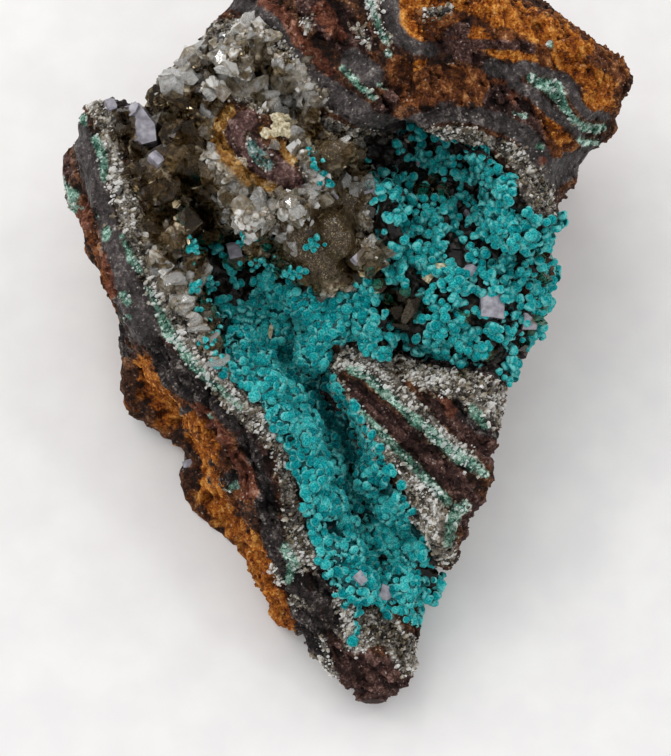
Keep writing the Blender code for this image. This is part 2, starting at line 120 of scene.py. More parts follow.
# %% [markdown]
# ## The zones of the rock
# Ironstone like this grew in layers: rusty limonite, then dense purple-grey hematite, a thin green
# film of copper minerals, and last the quartz that lines the hollow. A zone is a few broad
# strokes along the layer it stands for, and the distance inside the zone is kept on the mesh,
# so that the material can break the edge up with its own grain. A painted picture would blur
# close to, and wouldn't sit on the layers from the side.

# %% Hematite, in strokes of (x, y, radius) in pixels
HEMATITE = [
    # left rim, its upper half
    [(80, 132, 8), (87, 150, 12), (93, 172, 12), (98, 196, 12), (108, 222, 9), (113, 242, 10),
     (118, 262, 12), (127, 284, 14), (137, 306, 18), (146, 328, 18)],
    # top block: round the knob, then along the lip of the chamber's roof to the right shoulder
    [(228, 0, 8), (256, 8, 8), (274, 18, 9), (284, 34, 8), (294, 50, 8), (306, 66, 9)],
    [(316, 80, 9), (334, 96, 14), (352, 108, 14), (372, 122, 11), (398, 126, 8), (420, 120, 7),
     (450, 114, 7), (480, 116, 8), (504, 124, 9), (524, 134, 10), (536, 150, 11), (542, 170, 12)],
    [(388, -20, 12), (390, 4, 9), (392, 24, 8), (402, 40, 8), (416, 48, 7), (432, 50, 7)],
    [(352, 60, 12), (372, 76, 12)],
    # round the green lens
    [(492, 68, 9), (510, 72, 8), (526, 68, 7), (550, 74, 5), (564, 78, 6), (573, 88, 6), (576, 102, 5),
     (586, 114, 5), (606, 117, 5)],
    [(512, 82, 5), (532, 94, 6), (546, 106, 7), (560, 118, 6), (580, 134, 4)],
    [(548, 176, 14), (570, 164, 12), (588, 152, 8)],
    [(440, 104, 2), (452, 102, 2)],
]
BLACK = [
    [(150, 342, 9), (164, 358, 12), (182, 376, 14), (200, 392, 14), (220, 408, 12), (236, 422, 10)],
    [(246, 440, 8), (256, 462, 8), (262, 490, 9), (268, 520, 10), (278, 548, 11), (292, 580, 13),
     (306, 612, 15), (316, 640, 13), (322, 656, 7)],
    [(118, 320, 7), (124, 350, 10), (124, 380, 11), (130, 404, 10), (140, 424, 7), (166, 432, 6),
     (184, 446, 8)],
    [(172, 424, 4), (184, 430, 5)],
    [(200, 472, 5), (208, 482, 7)],
    [(228, 478, 6), (236, 482, 6)],
    [(218, 504, 3)],
    [(96, 206, 2.5), (98, 220, 3)],
    [(424, 118, 4), (450, 112, 5), (480, 116, 4)],
    [(456, 402, 4), (466, 418, 5), (482, 430, 4), (496, 436, 4)],
    [(372, 342, 5), (400, 356, 8), (430, 362, 8), (460, 366, 8), (490, 370, 8), (506, 376, 8)],
    [(534, 330, 8), (522, 344, 9), (514, 358, 8)],
    [(122, 106, 10), (130, 120, 12), (128, 138, 10)],
    [(322, 378, 7), (334, 392, 7), (346, 408, 5)], [(338, 444, 6), (346, 462, 6)],
    [(304, 512, 5), (312, 536, 7), (320, 560, 8), (330, 586, 9), (336, 612, 8)],
    [(228, 502, 4)], [(186, 410, 4)], [(212, 462, 4)], [(316, 578, 6), (326, 604, 8), (338, 630, 7)],
    [(356, 426, 5), (372, 446, 5), (388, 464, 5), (402, 482, 6), (410, 502, 7), (414, 524, 7),
     (418, 548, 7)],
]
MAROON = [
    [(350, 386, 5), (368, 401, 8), (387, 418, 9), (407, 436, 10), (427, 454, 11), (446, 472, 12),
     (462, 488, 12), (474, 506, 9), (468, 530, 8), (462, 552, 5)],
    [(434, 406, 8), (450, 416, 10), (466, 430, 11), (482, 446, 11), (491, 458, 7)],
    [(310, 4, 14), (336, 24, 20), (352, 44, 16), (364, 40, 12)],
    [(392, 96, 8), (384, 110, 8)],
    [(500, 100, 16), (524, 110, 10), (542, 152, 8)],
    [(448, 34, 5), (470, 20, 4), (456, 52, 7), (480, 58, 6), (440, 44, 5), (520, 44, 5), (532, 50, 4)],
    [(346, 672, 13), (372, 682, 24), (392, 676, 16), (338, 650, 10)],
    [(164, 318, 4), (168, 350, 8), (178, 364, 8)],
    [(232, 416, 7), (244, 432, 8), (258, 448, 8), (266, 470, 7), (268, 492, 6)],
    [(66, 160, 7), (70, 172, 7)],
]
print(len(HEMATITE + BLACK + MAROON), "strokes of hematite")

# %% Quartz and green copper stain
QUARTZ = [
    [(98, 106, 11), (108, 114, 9), (106, 130, 9), (112, 152, 8), (118, 180, 9), (126, 206, 11),
     (138, 232, 12), (148, 258, 14), (160, 284, 15), (176, 308, 14), (186, 332, 15), (204, 356, 15),
     (222, 378, 14), (244, 404, 14), (266, 428, 13), (284, 452, 8), (286, 482, 6), (290, 510, 7),
     (296, 536, 11), (306, 564, 9)],
    [(302, 604, 4), (292, 600, 5)],
    [(340, 596, 6), (350, 618, 10), (356, 640, 12), (378, 624, 18), (394, 636, 12), (404, 664, 8),
     (410, 640, 6)],
    [(321, 642, 3), (324, 656, 3), (331, 672, 4), (338, 686, 4)],
    [(274, 570, 4), (277, 582, 4)],
    # the knob and the rim of its pocket
    [(156, 96, 12), (182, 70, 16), (214, 44, 18), (244, 30, 13), (266, 36, 10), (282, 56, 11), (298, 82, 13),
     (318, 100, 9)],
    [(196, 92, 16), (212, 124, 10), (214, 152, 10), (232, 180, 11), (252, 200, 12), (280, 206, 14),
     (306, 200, 10)],
    [(224, 84, 14), (262, 96, 10), (288, 108, 10), (298, 128, 12), (306, 150, 10), (312, 176, 10)],
    # under the roof's lip, to its right end
    [(322, 122, 6), (350, 136, 8), (384, 142, 9), (412, 138, 9), (440, 134, 8), (470, 136, 8), (490, 144, 6)],
    [(504, 148, 8), (518, 158, 9), (528, 174, 10), (540, 190, 8), (548, 204, 5)],
    [(252, 98, 7), (262, 108, 6)],
    # the ledge's pale layers
    [(346, 350, 6), (366, 352, 6), (384, 362, 7), (402, 372, 8), (430, 378, 8), (456, 380, 8), (480, 386, 8),
     (498, 392, 6)],
    [(336, 366, 6), (346, 362, 8), (360, 364, 9), (374, 372, 8), (390, 384, 9), (402, 398, 9), (416, 408, 8),
     (428, 424, 8), (446, 442, 9), (464, 456, 9), (478, 468, 6)],
    [(418, 380, 7), (436, 384, 8), (452, 390, 7), (466, 398, 6), (484, 404, 12), (490, 418, 8)],
    [(338, 384, 4), (350, 402, 5), (363, 422, 6), (379, 443, 7), (394, 460, 8), (408, 476, 10),
     (421, 496, 13), (430, 512, 15), (431, 530, 16), (436, 546, 13), (448, 556, 8)],
    # the pale vein and the flecks of the top
    [(374, -8, 9), (372, 4, 8), (375, 16, 6), (378, 26, 4), (385, 36, 4), (390, 44, 2)],
    [(356, 28, 3), (364, 38, 3), (370, 46, 2)],
    [(430, 13, 4), (442, 11, 4), (450, 9, 3)],
    [(306, 20, 3), (308, 30, 3)],
]
GREEN = [
    [(82, 117, 4), (84, 124, 3)],
    [(94, 138, 4), (101, 152, 5), (104, 168, 4), (105, 180, 2)],
    [(122, 236, 2), (127, 248, 3), (134, 262, 5), (140, 272, 3)],
    [(148, 288, 2), (170, 334, 6), (178, 344, 4), (194, 366, 5), (206, 378, 4), (226, 394, 3), (240, 408, 3)],
    [(66, 180, 3), (72, 192, 5), (76, 208, 4)],
    [(108, 230, 3), (106, 238, 3)],
    [(96, 216, 2)],
    [(124, 294, 4), (128, 302, 3)],
    [(128, 318, 3)],
    [(126, 370, 3), (128, 378, 3)],
    [(146, 421, 2), (152, 424, 2)],
    [(209, 418, 3)],
    [(232, 488, 4)],
    [(188, 488, 3)],
    [(366, -10, 3), (380, 30, 3), (386, 40, 3)],
    [(342, 68, 2.5), (352, 78, 3), (362, 88, 3.5), (374, 97, 3)],
    [(378, 84, 2.5), (384, 88, 2)],
    [(388, 54, 4)],
    [(530, 78, 4), (542, 84, 5), (554, 88, 8), (560, 98, 6), (564, 108, 4), (572, 118, 3), (582, 126, 4),
     (594, 130, 4), (604, 127, 3)],
    [(576, 138, 2), (586, 143, 3), (598, 142, 2)],
    [(550, 44, 4)],
    [(540, 147, 4)],
    [(514, 114, 2), (526, 115, 2)],
    [(348, 370, 3), (362, 374, 4.5), (376, 383, 5), (388, 396, 5), (400, 408, 4), (412, 418, 6),
     (424, 426, 5), (436, 438, 6), (448, 448, 6), (462, 458, 7), (474, 466, 5), (484, 474, 3)],
    [(354, 402, 3), (364, 414, 3), (377, 429, 4), (391, 443, 4), (405, 457, 4), (419, 471, 5),
     (433, 486, 5), (447, 501, 4)],
    [(464, 504, 4), (456, 512, 6), (450, 528, 5), (447, 544, 3)],
    [(472, 408, 4), (478, 416, 5), (484, 426, 3)],
    [(284, 546, 4), (294, 564, 6), (288, 580, 4)],
]
print(len(QUARTZ + GREEN), "strokes of quartz and of copper stain")

# %% Limonite, brick-red dust, and the chip in the knob
RUSSET = [
    [(396, 66, 10), (412, 88, 18), (440, 84, 20), (470, 86, 18), (500, 92, 14)],
    [(404, 8, 14), (440, 20, 22), (480, 24, 26), (520, 30, 30), (566, 52, 28), (606, 72, 24), (600, 104, 16)],
    [(520, 100, 12), (548, 130, 18), (560, 146, 14)],
    [(176, 404, 10), (196, 424, 14), (214, 446, 16), (232, 468, 14), (248, 492, 10)],
    [(194, 462, 12), (202, 490, 14), (230, 504, 10)],
    [(84, 200, 6), (86, 224, 7), (94, 240, 6), (102, 262, 5), (114, 292, 5)],
    [(146, 358, 6)],
]
OCHRE = [
    [(144, 362, 7), (150, 376, 11), (158, 394, 13), (168, 408, 11)],
    [(190, 418, 7), (204, 431, 7), (215, 448, 6)],
    [(206, 466, 6), (216, 484, 8), (224, 502, 7)],
    [(204, 486, 8), (210, 504, 8)], [(190, 440, 7), (212, 456, 7)],
    [(218, 514, 9), (232, 524, 11), (246, 542, 11), (258, 564, 14), (268, 588, 13), (280, 612, 12),
     (288, 628, 6)],
    [(236, 560, 8)],
    [(78, 232, 6)],
    [(404, 4, 11), (404, 24, 8), (420, 36, 7)],
    [(420, -2, 10), (446, -4, 12), (474, 2, 12), (500, 10, 16), (526, 22, 14), (552, 34, 13), (582, 48, 11)],
    [(462, 26, 6), (482, 36, 8), (494, 48, 8), (514, 56, 7), (532, 60, 4)],
    [(416, 66, 4), (424, 62, 4)],
    [(560, 58, 8), (580, 72, 10), (600, 84, 13), (596, 102, 11), (606, 104, 8)],
    [(552, 124, 7), (562, 138, 7)],
    [(224, 112, 5), (222, 100, 5)],
    [(209, 78, 4)],
]
BRICK = [
    [(262, 2, 5), (282, 10, 6), (290, 26, 5), (298, 40, 6), (312, 54, 7), (322, 60, 7), (330, 72, 5)],
    [(324, 12, 12), (340, 34, 8)],
    [(84, 206, 4), (88, 226, 5)],
    [(104, 256, 3), (114, 292, 3)],
    [(234, 456, 7), (246, 472, 8), (251, 492, 8)],
    [(198, 408, 6), (214, 426, 7), (226, 444, 6)],
    [(446, 404, 6), (452, 412, 6)],
    [(512, 98, 6)],
    [(543, 160, 4)],
]
CHIP = [
    [(248, 120, 9), (238, 127, 11), (240, 138, 13), (252, 153, 14), (268, 165, 14), (282, 174, 12),
     (295, 183, 9)],
]
CHIP_BORDER = [
    [(230, 110, 6), (220, 122, 7), (218, 136, 6), (223, 150, 7), (232, 163, 7), (244, 175, 7), (258, 184, 6),
     (272, 187, 5)],
    [(262, 130, 4), (274, 138, 3), (286, 150, 6), (292, 160, 6)],
    [(224, 100, 7), (222, 94, 5)],
]
CHIP_CORE = [[(251, 142, 4), (254, 150, 6), (262, 159, 8), (269, 166, 5)]]
print(len(RUSSET + OCHRE + BRICK), "strokes of limonite and dust, and a chip of three parts")

# %% How deep inside each zone a point is
ZONES = {
    "hematite": HEMATITE, "black": BLACK, "maroon": MAROON, "quartz": QUARTZ, "green": GREEN,
    "russet": RUSSET, "ochre": OCHRE, "brick": BRICK, "chip": CHIP, "border": CHIP_BORDER, "core": CHIP_CORE,
}
FADE_DEPTH = (-26.0, -19.0)  # mm under the face, where the layers end
RUST_DEPTH = (-46.0, -34.0)  # the rust goes on down the sides
LOST = 20.0  # mm, more than any zone is wide


def zones_of(points):
    """Each zone's depth at the world points. They fade away down the hidden sides."""
    places, level = seen(points), on_face(points)[:, 2]
    faded, rusted = (np.interp(level, depth, (LOST, 0.0)) for depth in (FADE_DEPTH, RUST_DEPTH))
    return {
        name: np.maximum(depth_inside(places, strokes) - (rusted if name == "ochre" else faded), FAR_OUTSIDE)
        for name, strokes in ZONES.items()
    }


print(sum(len(strokes) for strokes in ZONES.values()), "strokes in all")

# %% [markdown]
# ## Eye, floor and light
# The photograph was taken from straight above the broken face, a third of a metre away, in soft
# daylight from a window at the upper left. A large square lamp stands for the window, small
# bright ones for the panes that the crystals mirror, and a pale sky fills the shadows. The
# colours are kept as they are, with no film curve over them, so that a hex colour read from the
# photograph means the same thing here.

# %% The camera
def face_axis(u, v, w):
    """A direction in the face's frame, as a world direction."""
    return (FACE.to_3x3() @ Vector((u, v, w))).normalized()


LENS, SENSOR = 100, 36  # mm
scene = bpy.context.scene
EYE = FACE @ Vector((0, 0, EYE_DISTANCE))
camera = bpy.data.objects.new("photo_camera", bpy.data.cameras.new("photo_camera"))
scene.collection.objects.link(camera)
camera.data.lens, camera.data.sensor_width = LENS, SENSOR
camera.location = EYE
camera.rotation_euler = (FACE_TILT, 0, 0)
scene.camera = camera
scene.view_settings.view_transform = "Standard"
print("the eye is at", tuple(round(x, 3) for x in EYE))


# %% Colours and nodes
def linear(code):
    """An sRGB hex colour, as the linear numbers that a shader works in."""
    parts = [int(code[i : i + 2], 16) / 255 for i in (1, 3, 5)]
    return tuple(c / 12.92 if c <= 0.04045 else ((c + 0.055) / 1.055) ** 2.4 for c in parts) + (1.0,)


def add(material, kind, settings=None, links=None, stops=()):
    """Adds one node. An input takes a number, a hex colour, a socket, or a node's first live output."""
    node = material.node_tree.nodes.new("ShaderNode" + kind)
    for name, value in (settings or {}).items():
        setattr(node, name, value)
    for name, value in (links or {}).items():
        live = [s for s in node.inputs if s.enabled]
        socket = live[name] if isinstance(name, int) else next(s for s in live if s.name == name)
        if isinstance(value, bpy.types.Node):
            value = next(s for s in value.outputs if s.enabled)
        if isinstance(value, bpy.types.NodeSocket):
            material.node_tree.links.new(value, socket)
        else:
            socket.default_value = linear(value) if isinstance(value, str) else value
    for i, (place, colour) in enumerate(stops):
        ramp = node.color_ramp.elements
        stop = ramp[i] if i < min(2, len(stops)) else ramp.new(place)
        stop.position, stop.color = place, linear(colour)
    return node


def new_material(name):
    """A material with no nodes yet."""
    material = bpy.data.materials.new(name)
    material.use_nodes = True
    material.node_tree.nodes.clear()
    return material


print("white card:", [round(c, 3) for c in linear("#e8e6e3")[:3]])

# %% The floor, a sheet of white-painted board
FLOOR_SIZE = 2.4  # m
PAINT_SPECK = 9.0  # mm
board = new_material("white_painted_board")
where = add(board, "TexCoord").outputs["Object"]
mottle = add(board, "TexNoise", links={"Vector": where, "Scale": 1000 / PAINT_SPECK, "Detail": 4.0})
tint = add(board, "ValToRGB", links={"Fac": mottle}, stops=[(0.35, "#e7e4e2"), (0.65, "#eceae7")])
paint = add(board, "BsdfPrincipled", links={"Base Color": tint, "Roughness": 0.55})
add(board, "OutputMaterial", links={"Surface": paint})

shape = bmesh.new()
bmesh.ops.create_grid(shape, x_segments=2, y_segments=2, size=FLOOR_SIZE / 2)
floor = bpy.data.objects.new("floor", bpy.data.meshes.new("floor"))
shape.to_mesh(floor.data)
shape.free()
floor.data.materials.append(board)
scene.collection.objects.link(floor)
print("floor", FLOOR_SIZE, "m across")

# %% The window and the sky
WINDOW_SIZE, WINDOW_POWER = 1.0, 4.6  # m, W
WINDOW_AT = Vector((-0.55, 0.55, 0.95))
PANE_SIZE, PANE_POWER = 0.13, 0.75  # m, W
PANES_AT = [Vector((-0.75, 0.35, 0.85)), Vector((-0.15, 0.85, 0.8)), Vector((0.55, 0.25, 1.0))]
SKY_COLOUR, SKY_STRENGTH = (0.96, 0.975, 1.0, 1.0), 0.86


def lamp(name, size, power, place):
    """A square lamp that looks at the specimen."""
    made = bpy.data.objects.new(name, bpy.data.lights.new(name, "AREA"))
    made.data.size, made.data.energy = size, power
    made.location = place
    made.rotation_euler = (-place).to_track_quat("-Z", "Y").to_euler()
    scene.collection.objects.link(made)


lamp("window", WINDOW_SIZE, WINDOW_POWER, WINDOW_AT)
for i, place in enumerate(PANES_AT):
    lamp(f"pane_{i}", PANE_SIZE, PANE_POWER, place)
scene.world = bpy.data.worlds.new("sky")
scene.world.use_nodes = True
sky = scene.world.node_tree.nodes["Background"]
sky.inputs["Color"].default_value = SKY_COLOUR
sky.inputs["Strength"].default_value = SKY_STRENGTH
print("window of", WINDOW_SIZE, "m and", len(PANES_AT), "bright panes for the glints")

# %% [markdown]
# ## Tools for skins
# Every big piece is made in the same three steps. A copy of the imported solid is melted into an
# even skin of fine squares by the Remesh modifier, the skin is pushed in and out along its
# normals by noise at the sizes that the stone really shows, and the squares that no longer
# matter are thinned out by Decimate. The noise is worked out here, and not by a Displace
# modifier, so that each zone can have its own kind of roughness, and the mesh can keep the
# depth of each pit for the material to darken.


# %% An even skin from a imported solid
WELD = 1e-6  # m


def new_piece(name, mesh, material):
    """A piece of the specimen: it rides on the root, and takes its finish from a slot."""
    mesh.name = name
    piece = bpy.data.objects.new(name, mesh)
    scene.collection.objects.link(piece)
    mesh.materials.clear()
    mesh.materials.append(material)
    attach(piece, "root")
    return piece


def with_modifiers(mesh, *modifiers):
    """The mesh that comes out of a row of modifiers, each a kind with its settings."""
    helper = bpy.data.objects.new("helper", mesh)
    scene.collection.objects.link(helper)
    for kind, settings in modifiers:
        modifier = helper.modifiers.new(kind, kind)
        for name, value in settings.items():
            setattr(modifier, name, value)
    made = bpy.data.meshes.new_from_object(helper.evaluated_get(bpy.context.evaluated_depsgraph_get()))
    bpy.data.objects.remove(helper)
    return made


def even_skin(node, square, smoothing, cut_at=None, keep_above=True):
    """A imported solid's mesh, its loose triangles joined, remade in even squares (mm) and smoothed.
    It can be cut first at a depth of the face's frame."""
    shape = bmesh.new()
    shape.from_mesh(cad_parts[node].data)
    bmesh.ops.remove_doubles(shape, verts=shape.verts, dist=WELD)
    if cut_at is not None:
        geom = shape.verts[:] + shape.edges[:] + shape.faces[:]
        plane = FACE @ Vector((0, 0, cut_at))
        out = face_axis(0, 0, -1 if keep_above else 1)
        cut = bmesh.ops.bisect_plane(shape, geom=geom, plane_co=plane, plane_no=out, clear_outer=True)
        rim = [item for item in cut["geom_cut"] if isinstance(item, bmesh.types.BMEdge)]
        bmesh.ops.holes_fill(shape, edges=rim, sides=0)
    mesh = bpy.data.meshes.new(node)
    shape.to_mesh(mesh)
    shape.free()
    return with_modifiers(
        mesh,
        ("REMESH", {"mode": "VOXEL", "voxel_size": square * MM}),
        ("SMOOTH", {"factor": 0.5, "iterations": smoothing}),
    )


def read(items, field, width=3, kind=np.float32):
    """A field of all a mesh's vertices or faces, as rows."""
    values = np.empty(len(items) * width, kind)
    items.foreach_get(field, values)
    return values.reshape(-1, width) if width > 1 else values


def write_points(mesh, points):
    """Moves a mesh's vertices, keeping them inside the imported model's box."""
    mesh.vertices.foreach_set("co", np.clip(points, CAD_BOX[0], CAD_BOX[1]).ravel())
    mesh.update()


def write_values(mesh, **values):
    """Keeps a number for each vertex, under a name that the material can read."""
    for name, numbers in values.items():
        layer = mesh.attributes.get(name) or mesh.attributes.new(name, "FLOAT", "POINT")
        layer.data.foreach_set("value", np.asarray(numbers, np.float32))


def kept(mesh, name):
    """A number that was kept for each vertex."""
    return read(mesh.attributes[name].data, "value", 1)


def thinned(mesh, most):
    """The mesh with at most so many triangles."""
    now = sum(len(face.vertices) - 2 for face in mesh.polygons)
    mesh = with_modifiers(mesh, ("TRIANGULATE", {}), ("DECIMATE", {"ratio": min(1.0, most / now)}))
    write_points(mesh, read(mesh.vertices, "co"))
    return mesh


def smoothed(mesh, chosen, rounds):
    """Moves the chosen corners to the middle of their neighbours, so many times."""
    shape = bmesh.new()
    shape.from_mesh(mesh)
    corners = [v for v, wanted in zip(shape.verts, chosen.tolist()) if wanted]
    for _ in range(rounds):
        bmesh.ops.smooth_vert(
            shape, verts=corners, factor=0.5, use_axis_x=True, use_axis_y=True, use_axis_z=True
        )
    shape.to_mesh(mesh)
    shape.free()


# %% Noise at a real size
noise.seed_set(7)  # without a seed of its own, noise_vector starts from the clock
SEED_STEP = 17.3  # how far apart two seeds look, so that they share nothing
SWELL_REACH = 1.8  # noise() seldom goes past 0.55
SLOPE_STEP = 7.7  # how far apart two cells look for their slopes


def scaled(points, size, seed):
    """The points, counted in steps of so many millimetres, at a place of the seed's own."""
    return np.asarray(points) / (size * MM) + SEED_STEP * seed


def swells(points, size, seed=0):
    """Smooth noise, about -1 to 1, with swells so many millimetres wide."""
    return SWELL_REACH * np.array([noise.noise(row) for row in scaled(points, size, seed).tolist()])


def walls(points, size, seed=0):
    """0 on the walls between rounded cells so many millimetres wide, up to about 1 inside them."""
    near = np.array([noise.voronoi(row)[0][:2] for row in scaled(points, size, seed).tolist()])
    return near[:, 1] - near[:, 0]


def breaks(points, size, seed=0):
    """Flat tilted breaks, about -0.5 to 0.5, each so many millimetres wide, with a step to the next."""
    rows = scaled(points, size, seed)
    middles = np.array([noise.voronoi(row)[1][0] for row in rows.tolist()])
    slopes = np.array([noise.noise_vector(row) for row in (middles * SLOPE_STEP).tolist()])
    slopes /= np.linalg.norm(slopes, axis=1, keepdims=True) + 1e-9
    return ((rows - middles) * slopes).sum(axis=1)


def step(values, low, high):
    """0 below low, 1 above high, and smooth between."""
    t = np.clip((values - low) / (high - low), 0, 1)
    return t * t * (3 - 2 * t)


def on_strokes(points, strokes, low, high):
    """For each world point, 0 off the strokes and 1 on them, smooth from low to high (mm inside)."""
    return step(depth_inside(seen(points), strokes), low, high)


print("noise at 5 mm:", round(float(swells([(0.001, 0.002, 0.003)], 5)[0]), 3))

# %% [markdown]
# ## The ironstone
# Ironstone breaks into splinters along its dense hematite layers, and weathers to a boxwork of
# limonite where it is soft: thin walls round small empty cells. So the skin gets flat tilted
# breaks everywhere, drawn out along the layers, deep cells in the ochre and russet zones of the
# flank, and almost nothing on the smooth hematite. The broken face is where an eye rests, so it
# gets a skin of its own, more than twice as fine as the skin of the underside.

# %% Breaks, splinters and boxwork
LAYER_OF_RIM = face_axis(0.45, -0.89, 0)
LAYER_OF_LEDGE = face_axis(0.70, -0.71, 0)
LEDGE_DRAWN_OUT, RIM_DRAWN_OUT = 3.5, 2.5


def along(points, direction, times):
    """The points squeezed along a direction, so that a pattern on them is drawn out so many times."""
    direction = np.array(direction)
    return points - np.outer(points @ direction, direction) * (1 - 1 / times)


# Where the rotten flank and the toe stand a little proud: strokes of pixels, and how far (u, v) in mm.
PROUD = [
    ([[(184, 472, 10), (204, 505, 12), (240, 548, 16), (262, 590, 16), (286, 624, 12)]], (-2.1, -1.2)),
    ([[(130, 405, 8), (156, 428, 12), (176, 436, 8)]], (-0.7, -1.0)),
    ([[(66, 150, 10), (66, 170, 8)]], (-0.8, 0.2)),
    ([[(345, 694, 8), (366, 702, 8), (396, 690, 6)]], (0.0, -0.8)),
]


def bulged(points):
    """The points, moved out where the flank stands proud."""
    places = seen(points)
    for strokes, (u, v) in PROUD:
        share = step(depth_inside(places, strokes), -1.6, 1.2)
        points = points + share[:, None] * np.array(FACE.to_3x3() @ Vector((u, v, 0)))
    return points


def roughened(mesh):
    """Pushes the rock's skin in and out (mm), and keeps the depths and the zones on it."""
    points, normals = bulged(read(mesh.vertices, "co")), read(mesh.vertex_normals, "vector")
    zones = zones_of(points)
    places = seen(points)
    on_ledge = step(places[:, 0], -3, 2) * step(-places[:, 1], -4, 2)
    hidden = step(-on_face(points)[:, 2], 15.0, 22.0)
    smooth = step(np.maximum(zones["hematite"], zones["chip"] - 0.8), -0.5, 1.0)
    splinter = step(np.maximum(zones["black"], zones["maroon"]), -1.0, 0.5)
    pale = step(zones["quartz"], -0.6, 0.6)
    layered = np.where(
        on_ledge[:, None] > 0.5,
        along(points, LAYER_OF_LEDGE, LEDGE_DRAWN_OUT),
        along(points, LAYER_OF_RIM, RIM_DRAWN_OUT),
    )
    rotten = np.maximum(zones["ochre"], zones["russet"])
    loose = np.maximum(step(rotten, -1.5, 1.0), 0.5 * hidden) * (1 - smooth) * (1 - splinter)
    warped = points + 0.6 * MM * swells(points, 3.0, 4)[:, None]
    facet, chip = breaks(layered, 3.4, 11), breaks(layered, 1.3, 12)
    push = 0.45 * swells(points, 6.0, 1) * (1 - 0.4 * smooth)
    push += 1.5 * facet * (0.45 + 0.55 * splinter) * (1 - 0.75 * smooth) * (1 - 0.5 * pale)
    push += 0.75 * chip * (0.6 + 0.4 * splinter) * (1 - 0.7 * smooth)
    push += 0.22 * swells(points, 1.0, 3) * (1 - 0.5 * smooth)
    boxwork = loose * step(-places[:, 0], 4, 10)
    push -= 1.15 * boxwork * step(walls(warped, 2.7, 1), 0.10, 0.45)
    push += (loose - boxwork) * (0.5 * breaks(points, 1.6, 15) + 0.3 * swells(points, 1.6, 16))
    push += 0.35 * pale * breaks(points, 0.9, 14)
    write_points(mesh, points + normals * push[:, None] * MM)
    write_values(mesh, pit=push, hidden=hidden, facet=facet, chipped=chip, **zones)
    print("pushed from", round(push.min(), 2), "to", round(push.max(), 2), "mm")
    return mesh


print("the ledge's layers run along", tuple(round(x, 2) for x in LAYER_OF_LEDGE))

# %% The broken face's skin
SKIN_SEAM, SKIN_OVERLAP = -19.0, 0.8  # mm under the face, where the fine skin ends
FACE_SQUARE, UNDER_SQUARE = 0.38, 1.0  # mm
FACE_TRIANGLES, UNDER_TRIANGLES = 190000, 28000
rock = roughened(even_skin("host_rock", FACE_SQUARE, 5, SKIN_SEAM - SKIN_OVERLAP))
rock = thinned(rock, FACE_TRIANGLES)
print("face skin:", len(rock.polygons), "triangles")

# %% The underside's skin
under = roughened(even_skin("host_rock", UNDER_SQUARE, 2, SKIN_SEAM + SKIN_OVERLAP, keep_above=False))
under = thinned(under, UNDER_TRIANGLES)
print("underside skin:", len(under.polygons), "triangles")

# %% [markdown]
# ### Ironstone's finish
# The rock is iron oxide in seven states, from the same water at different times: brown rusty
# stone, russet stone, yellow-orange limonite, smooth purple-grey hematite with a dull gloss,
# black splintery hematite, maroon hematite, and brick-red hematite dust. A layer of milky quartz
# and a green copper stain lie between them. Each state is a colour ramp over the same grain, and
# the zones pick the ramp. The pits that the skin keeps are painted darker, partly for the dust
# in them and partly as painted shade.


# %% Colour by zone
COLOURS = {"data_type": "RGBA"}
SMOOTH = {"interpolation_type": "SMOOTHSTEP"}
EDGE_SOFT = 0.25  # mm, to either side


def zone(material, name, grain, ragged, soft=EDGE_SOFT):
    """1 inside a zone and 0 outside, its edge torn by the grain over so many millimetres."""
    depth = add(material, "Attribute", {"attribute_name": name}).outputs["Fac"]
    torn = add(material, "Math", {"operation": "MULTIPLY_ADD"}, {0: grain, 1: 2 * ragged, 2: depth})
    ends = {"Value": torn, "From Min": ragged - soft, "From Max": ragged + soft}
    return add(material, "MapRange", SMOOTH, ends)


def laid_over(material, under, over, name, grain, ragged, soft=EDGE_SOFT):
    """The second colour laid over the first inside a zone."""
    share = zone(material, name, grain, ragged, soft)
    return add(material, "Mix", COLOURS, {"Factor": share, "A": under, "B": over})


print("a zone's edge is", 2 * EDGE_SOFT, "mm soft, unless it says otherwise")

# %% Ironstone
PATCH, GRAIN, GRIT, SPARK = 7.0, 1.9, 0.36, 0.5  # mm
RAMPS = {
    "rust": [(0.26, "#0b0503"), (0.43, "#28150c"), (0.57, "#492a17"), (0.78, "#8a5c3c")],
    "russet": [(0.26, "#1f0c04"), (0.43, "#4e2710"), (0.57, "#733f1b"), (0.78, "#b07a4a")],
    "maroon": [(0.26, "#110807"), (0.45, "#311d19"), (0.60, "#50362f"), (0.80, "#8a6a61")],
    "ochre": [(0.26, "#341203"), (0.41, "#7e3c08"), (0.55, "#ab6016"), (0.78, "#e3a552")],
    "hematite": [(0.25, "#1b1615"), (0.45, "#3b3534"), (0.62, "#544d4b"), (0.84, "#8d8581")],
    "black": [(0.26, "#080606"), (0.45, "#221c1b"), (0.60, "#3f3735"), (0.82, "#8b837d")],
    "brick": [(0.26, "#2a1009"), (0.45, "#5c2f1f"), (0.62, "#7c4a35"), (0.86, "#ab8370")],
    "quartz": [(0.26, "#1b1713"), (0.43, "#544d44"), (0.58, "#918a80"), (0.78, "#dedad2")],
    "green": [(0.28, "#0f2a21"), (0.43, "#3c6a58"), (0.57, "#7ba691"), (0.74, "#d3e8dc")],
}
RAGGED = {
    "russet": 1.6, "ochre": 1.6, "maroon": 1.0, "hematite": 0.9, "black": 1.1, "brick": 1.1,
    "quartz": 0.8, "green": 0.9,
}
TONE_MIDDLE = 0.485
GRIT_SHARE, FACET_SHARE, CHIPPED_SHARE, SPARK_SHARE = 0.75, 0.10, 0.14, 0.22
ironstone = new_material("ironstone")
where = add(ironstone, "TexCoord").outputs["Object"]
patch = add(ironstone, "TexNoise", links={"Vector": where, "Scale": 1000 / PATCH, "Detail": 3.0})
grain = add(
    ironstone, "TexNoise", links={"Vector": where, "Scale": 1000 / GRAIN, "Detail": 7.0, "Roughness": 0.66}
)
